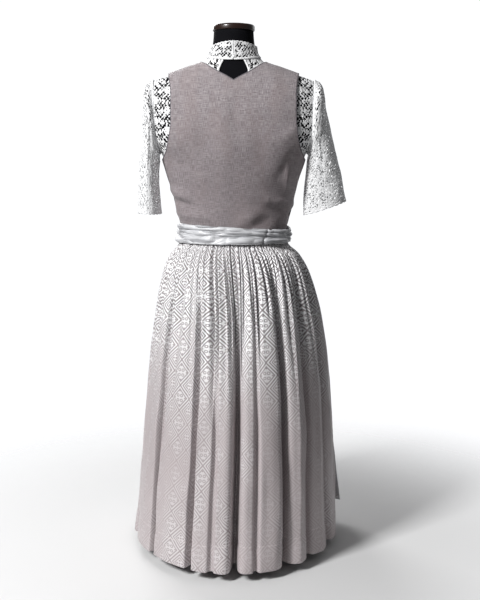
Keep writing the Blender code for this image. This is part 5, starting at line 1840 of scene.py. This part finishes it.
def add_button(number, seat, way, outline):
    side = unit(np.cross(way, [0.0, 0.0, 1.0]))
    up = np.cross(side, way)
    turns = full_turn(BUTTON_SIDES)
    radius, height = outline[:, :1], outline[:, 1:]
    on_dome = radius < BUTTON_RADIUS * (BUTTON_MIDDLE + 0.02)
    relief = 1 + 0.05 * np.sin(turns * BUTTON_PETALS) * on_dome
    points = (seat + (radius * relief * np.cos(turns))[..., None] * side
              + (radius * relief * np.sin(turns))[..., None] * up + height[..., None] * way)
    points = np.concatenate([points, (seat + way * outline[-1, 1]) + 0 * points[-1:]])
    rows = np.append(outline[:, 1], outline[-1, 1] + 0.001)
    flat = flat_ring(0.035, BUTTON_SIDES, rows)
    button = add_grid(f"pewter_button_{number}", points, flat, PEWTER, closed=True)
    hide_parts(f"front_button_{number}")


def add_front_buttons():
    outline = button_outline()
    x = np.array(BUTTON_RADIUS + BUTTON_EDGE)
    for i in range(BUTTON_COUNT):
        share = i / (BUTTON_COUNT - 1)
        rise = np.array(FIRST_BUTTON_RISE + (LAST_BUTTON_RISE - FIRST_BUTTON_RISE) * share)
        seat = draped(x, rise, -1, BODICE_EASE + LINEN_WALL + BUTTON_SEAT)
        way = outward(x, seat[1], rise)
        add_button(i + 1, seat * MIRROR, way * MIRROR, outline)


def pewter_finish():
    finish = Finish("pewter", (0.42, 0.41, 0.40), 0.32, Metallic=1.0)
    grain = finish.noise(finish.place(), 900.0, 2.0)
    finish.wear("Roughness", 0.24 + grain * 0.22)
    return finish


PEWTER = pewter_finish()
print("pewter nodes:", len(PEWTER.tree.nodes))
BACKS, BACK_RISE = add_bodice_back()
FRONTS, FRONT_RISE = add_bodice_fronts()
add_armhole_piping(BACKS, BACK_RISE, FRONTS, FRONT_RISE)
add_front_buttons()
print("bodice rows and columns:", BACK_RISE.shape)

# %% [markdown]
# ## Apron ties and bow
# The ties are satin bands wrapped round the waist and tied in a bow at the front. Satin creases
# in long fine lines along its pull. Each crease is a ridge that wanders over the band, made
# from noise that is stretched lengthwise, and one deep tuck lies where the band doubles.

# %% Satin
TIE_WRAP_ROWS = [
    # rise, ease
    (0.0105, 0.0094),
    (-0.0010, 0.0094),
    (-0.0110, 0.0090),
    (-0.0200, 0.0092),
    (-0.0292, 0.0094),
]
SATIN_WALL = 0.0022
SATIN_DARK, SATIN_LIGHT = (0.55, 0.555, 0.58), (0.80, 0.805, 0.82)
# dark streaks are painted crease shade along the band
PAINTED_CREASE_SHADE_COLOR = (0.22, 0.22, 0.24)
TIE_CLOTH = (0.80, 0.040)
TIE_COLUMNS = 500
TIE_LINES = 27
CREASE_DEPTH = 0.0042
TUCK_START = 0.070
TUCK_END = 0.120


def satin_finish():
    finish = Finish("silver satin", (0.66, 0.665, 0.69), 0.34, Sheen_Weight=0.05)
    u, v = finish.cloth_axes()
    thread = finish.patches(u * 60.0, v * 2600.0, 2.0)
    cloud = finish.patches(u * 18.0, v * 60.0, 3.0, 5.0)
    # painted crease shade: long dark streaks along the band
    painted_crease_shade = finish.patches(u * 13.0, v * 210.0, 3.0, 7.0).step_up(0.54, 0.07)
    plain = finish.blend(cloud, SATIN_DARK, SATIN_LIGHT)
    finish.wear("Base Color", finish.blend(painted_crease_shade * 0.66, plain, PAINTED_CREASE_SHADE_COLOR))
    finish.wear("Roughness", 0.27 + thread * 0.16)
    finish.bump(thread, 0.0002, 0.4)
    return finish


SATIN = satin_finish()
print("satin nodes:", len(SATIN.tree.nodes))


def pulled_creases(u, v, seed, wraps=(HILLS, HILLS)):
    """Long sharp ridges along u, about -1 to 1, for cloth that is pulled lengthwise."""
    wander = value_noise(u * 3.0, v * 1.5, seed, wraps[0]) * 0.30
    lines = value_noise(u * 3.0, (v + wander) * 5.5, seed + 1, wraps[0])
    fine = value_noise(u * 7.0, (v + wander) * 11.0, seed + 2, wraps[1])
    return 0.75 - 2.1 * np.abs(lines) ** 0.8 + 0.45 * (1 - 2 * np.abs(fine))


# %% Tie wrap
def add_tie_wrap():
    rises = [row[0] for row in TIE_WRAP_ROWS][::-1]
    ease_at = Curve(rises, [row[1] for row in TIE_WRAP_ROWS][::-1])
    share = np.linspace(0.0, 1.0, TIE_LINES)[:, None]
    turns = full_turn(TIE_COLUMNS)[None, :]
    low, high = rises[0], rises[-1]
    slope = 0.0080 * np.cos(turns) * smooth(np.sin(turns), -0.35, 0.05) - 0.0015
    rise = low + (high + slope - low) * share
    creases = -pulled_creases(turns / (2 * math.pi) * 4, share, 81, (12, 28))
    edge = np.minimum(share, 1 - share)
    roll = smooth(edge, 0.0, 0.07)
    ease = ease_at(rise) + 0.0022 + creases * CREASE_DEPTH * (0.25 + 0.75 * roll)
    ease = np.maximum(ease, ease_at(rise) - 0.0012)
    ease = ease - 0.0012 * (1 - roll)
    points = body_ring(turns + 0 * share, rise, ease)
    right, back = -points[..., 0], points[..., 1] > 0
    lap = smooth(right, TUCK_START - 0.006, TUCK_START + 0.004) * back
    lap = lap * smooth(right, TUCK_END + 0.02, TUCK_END)
    fold = np.exp(-((TUCK_START - right + (share - 0.5) * 0.012) / 0.0032) ** 2) * back
    points = points + outward(points[..., 0], points[..., 1], rise) * (
        (-0.0034 * fold + 0.0006 * lap)[..., None])
    flat = flat_ring(TIE_CLOTH[0], TIE_COLUMNS, share[:, 0] * TIE_CLOTH[1])
    wrap = add_grid("satin_wrap", points, flat, SATIN, closed=True)
    thicken(wrap, SATIN_WALL)
    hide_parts("tie_wrap")


add_tie_wrap()
print("tie wrap:", TIE_CLOTH, "m flat")

# %% Bow
TAIL_WALL = 0.0010
KNOT_RISE = -0.010
KNOT_SIZE = (0.030, 0.016, 0.036)
KNOT_COLUMNS = 96
KNOT_LINES = 60
TIE_CREASE = 0.0006
KNOT_CLEAR = 0.0010
LOOP_START = 0.0128
LOOP_LENGTH = 0.085
LOOP_STATIONS = [
    # place along the loop, half height, half thickness, sag
    (0.00, 0.0080, 0.0027, 0.0000),
    (0.12, 0.0114, 0.0042, -0.0001),
    (0.35, 0.0168, 0.0060, -0.0007),
    (0.65, 0.0200, 0.0050, -0.0025),
    (0.88, 0.0200, 0.0022, -0.0046),
    (1.00, 0.0200, 0.0016, -0.0060),
]
LOOP_CLEAR = 0.0010
LOOP_COLUMNS = 80
LOOP_LINES = 80
LOOP_TURN = 0.030
TAIL_WIDTH = 0.044
TAIL_LENGTH = 0.400
TAIL_START = 0.016
TAIL_SPREAD = 0.050
TAIL_COLUMNS = 26
TAIL_LINES = 120


def front_envelope(rise, x):
    """The y of the skirt's front crests at a height, at a distance x from the middle."""
    reach = np.maximum(0.0, 1.0 - (x / SIDE_AT(-rise)) ** 2)
    return -FRONT_AT(-rise) * np.sqrt(reach)


def add_knot(face):
    """A soft block with creases that run into it from both sides."""
    width, depth, height = KNOT_SIZE
    turns = full_turn(KNOT_COLUMNS)[None, :]
    tilt = np.linspace(-0.5 * math.pi, 0.5 * math.pi, KNOT_LINES)[:, None]
    ring = np.cos(tilt) ** 0.55
    x, y = oval(turns, width * 0.45 * ring, depth / 2 * ring, 3.0)
    z = np.sign(np.sin(tilt)) * np.abs(np.sin(tilt)) ** 0.75 * height * 0.48 + 0 * turns
    fold = pulled_creases(z * 20.0, x * 30.0 + 3, 91) * 0.0009 * ring
    points = np.stack([x, y, z], -1)
    points = points + unit(points) * fold[..., None]
    points = points + np.array([0.0, face - depth / 2, WAIST_Z + KNOT_RISE])
    flat = flat_ring(0.08, KNOT_COLUMNS, tilt[:, 0] * 0.02)
    knot = add_grid("satin_knot", points, flat, SATIN, closed=True)
    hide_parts("bow_knot")


def add_bow_loop(name, sign, middle):
    """A closed flat loop: rings of a flattened tube, pinched at the knot, with creases."""
    place = np.linspace(0.0, 1.0, LOOP_LINES)[:, None]
    half, thick, sag = (column(LOOP_STATIONS, 0, k)(place) for k in (1, 2, 3))
    x = LOOP_START + LOOP_LENGTH * place
    lowest = KNOT_RISE + sag - half
    rest = front_envelope(lowest, x) - APRON_OUT - TAIL_WALL - thick - LOOP_CLEAR
    back = np.minimum(rest, middle + LOOP_TURN * place)
    turns = full_turn(LOOP_COLUMNS)[None, :]
    crease = pulled_creases(place * 1.2 + 0 * turns, np.sin(turns) * 0.9 + 5 + 0 * place, 95)
    crease = crease * 0.0009 * (1 - 0.6 * place)
    _, z = oval(turns, 1.0, half, 3.2)
    points = np.stack([sign * x + 0 * turns, back + (thick + crease) * np.cos(turns),
                       WAIST_Z + KNOT_RISE + sag + z], -1)
    points = np.concatenate([points[:1].mean(1, keepdims=True) + 0 * points[:1], points,
                             points[-1:].mean(1, keepdims=True) + 0 * points[-1:]])
    v = np.concatenate([[0.0], np.linspace(0, LOOP_LENGTH, LOOP_LINES), [LOOP_LENGTH]])
    flat = flat_ring(0.088, LOOP_COLUMNS, v)
    loop = add_grid(f"satin_loop_{name}", points, flat[..., ::-1], SATIN,
                    closed=True, flip=sign > 0)
    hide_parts(f"bow_loop_{name}")


def add_tail(name, sign):
    top = KNOT_RISE - KNOT_SIZE[2] / 2 + 0.0010
    t = np.linspace(0.0, 1.0, TAIL_LINES)[:, None]
    side = np.linspace(-1.0, 1.0, TAIL_COLUMNS)[None, :]
    slant = 1.0 - 0.045 * (1 - sign * side) / 2 * smooth(t, 0.7, 1.0)
    rise = top - TAIL_LENGTH * t * slant
    half = TAIL_WIDTH / 2 * np.minimum(1.0, 0.45 + 2.2 * t)
    x = sign * (TAIL_START + TAIL_SPREAD * t) + half * side
    ripple = 0.0012 * np.sin(9.0 * t + 1.3 * (side + 1))
    ripple = ripple + pulled_creases(t * 5.0 + 0 * side, side * 0.5 + 2 + 0 * t, 99) * 0.0006
    out = 0.0085 + 0.0070 * np.maximum(0.0, 1.0 - 7.0 * t) + ripple
    points = np.stack([x, front_envelope(rise, x) - out, WAIST_Z + rise], -1)
    flat = flat_grid(side[0] * TAIL_WIDTH / 2, t[:, 0] * TAIL_LENGTH)
    tail = add_grid(f"satin_tail_{name}", points, flat[..., ::-1], SATIN, flip=True)
    thicken(tail, TAIL_WALL)
    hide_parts(f"tie_tail_{name}")


def add_bow():
    front = body_ring(np.array(1.5 * math.pi), np.array(KNOT_RISE), np.array(0.0))[1]
    face = front - TIE_WRAP_ROWS[2][1] - 2 * TIE_CREASE - SATIN_WALL - KNOT_CLEAR
    add_knot(face)
    for name, sign in (("left", 1), ("right", -1)):
        add_bow_loop(name, sign, face - KNOT_SIZE[1] * 0.55)
        add_tail(name, sign)


add_bow()
print("bow: knot, two loops and two tails")

# %% [markdown]
# ## Floor, size and finish
# A round pale floor carries the stand and catches its shadow, and fades out into the white sky.
# The part's own box is measured before and after dressing, both are kept in `sizes`, and the
# dressed size is printed.

# %% Floor and size
FLOOR_SIZE = 3.2
FLOOR_COLOR = (0.80, 0.80, 0.80)


def add_floor():
    finish = Finish("pale floor", FLOOR_COLOR, 0.9)
    half = FLOOR_SIZE / 2
    x, y, _ = finish.axes(finish.place())
    finish.wear("Alpha", x.reach(y).step_down(half * 0.50, half * 0.28))
    points = [(-half, -half, 0), (half, -half, 0), (half, half, 0), (-half, half, 0)]
    shape = bpy.data.meshes.new("floor")
    shape.from_pydata(points, [], [(0, 1, 2, 3)])
    shape.materials.append(finish.material)
    floor = bpy.data.objects.new("floor", shape)
    bpy.context.scene.collection.objects.link(floor)
    floor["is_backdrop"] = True


add_floor()
sizes = {"frame": [list(map(float, corner)) for corner in CAD_BOX],
         "dressed": [list(map(float, corner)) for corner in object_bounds()]}
print("size:", [round(b - a, 4) for a, b in zip(*sizes["dressed"])])
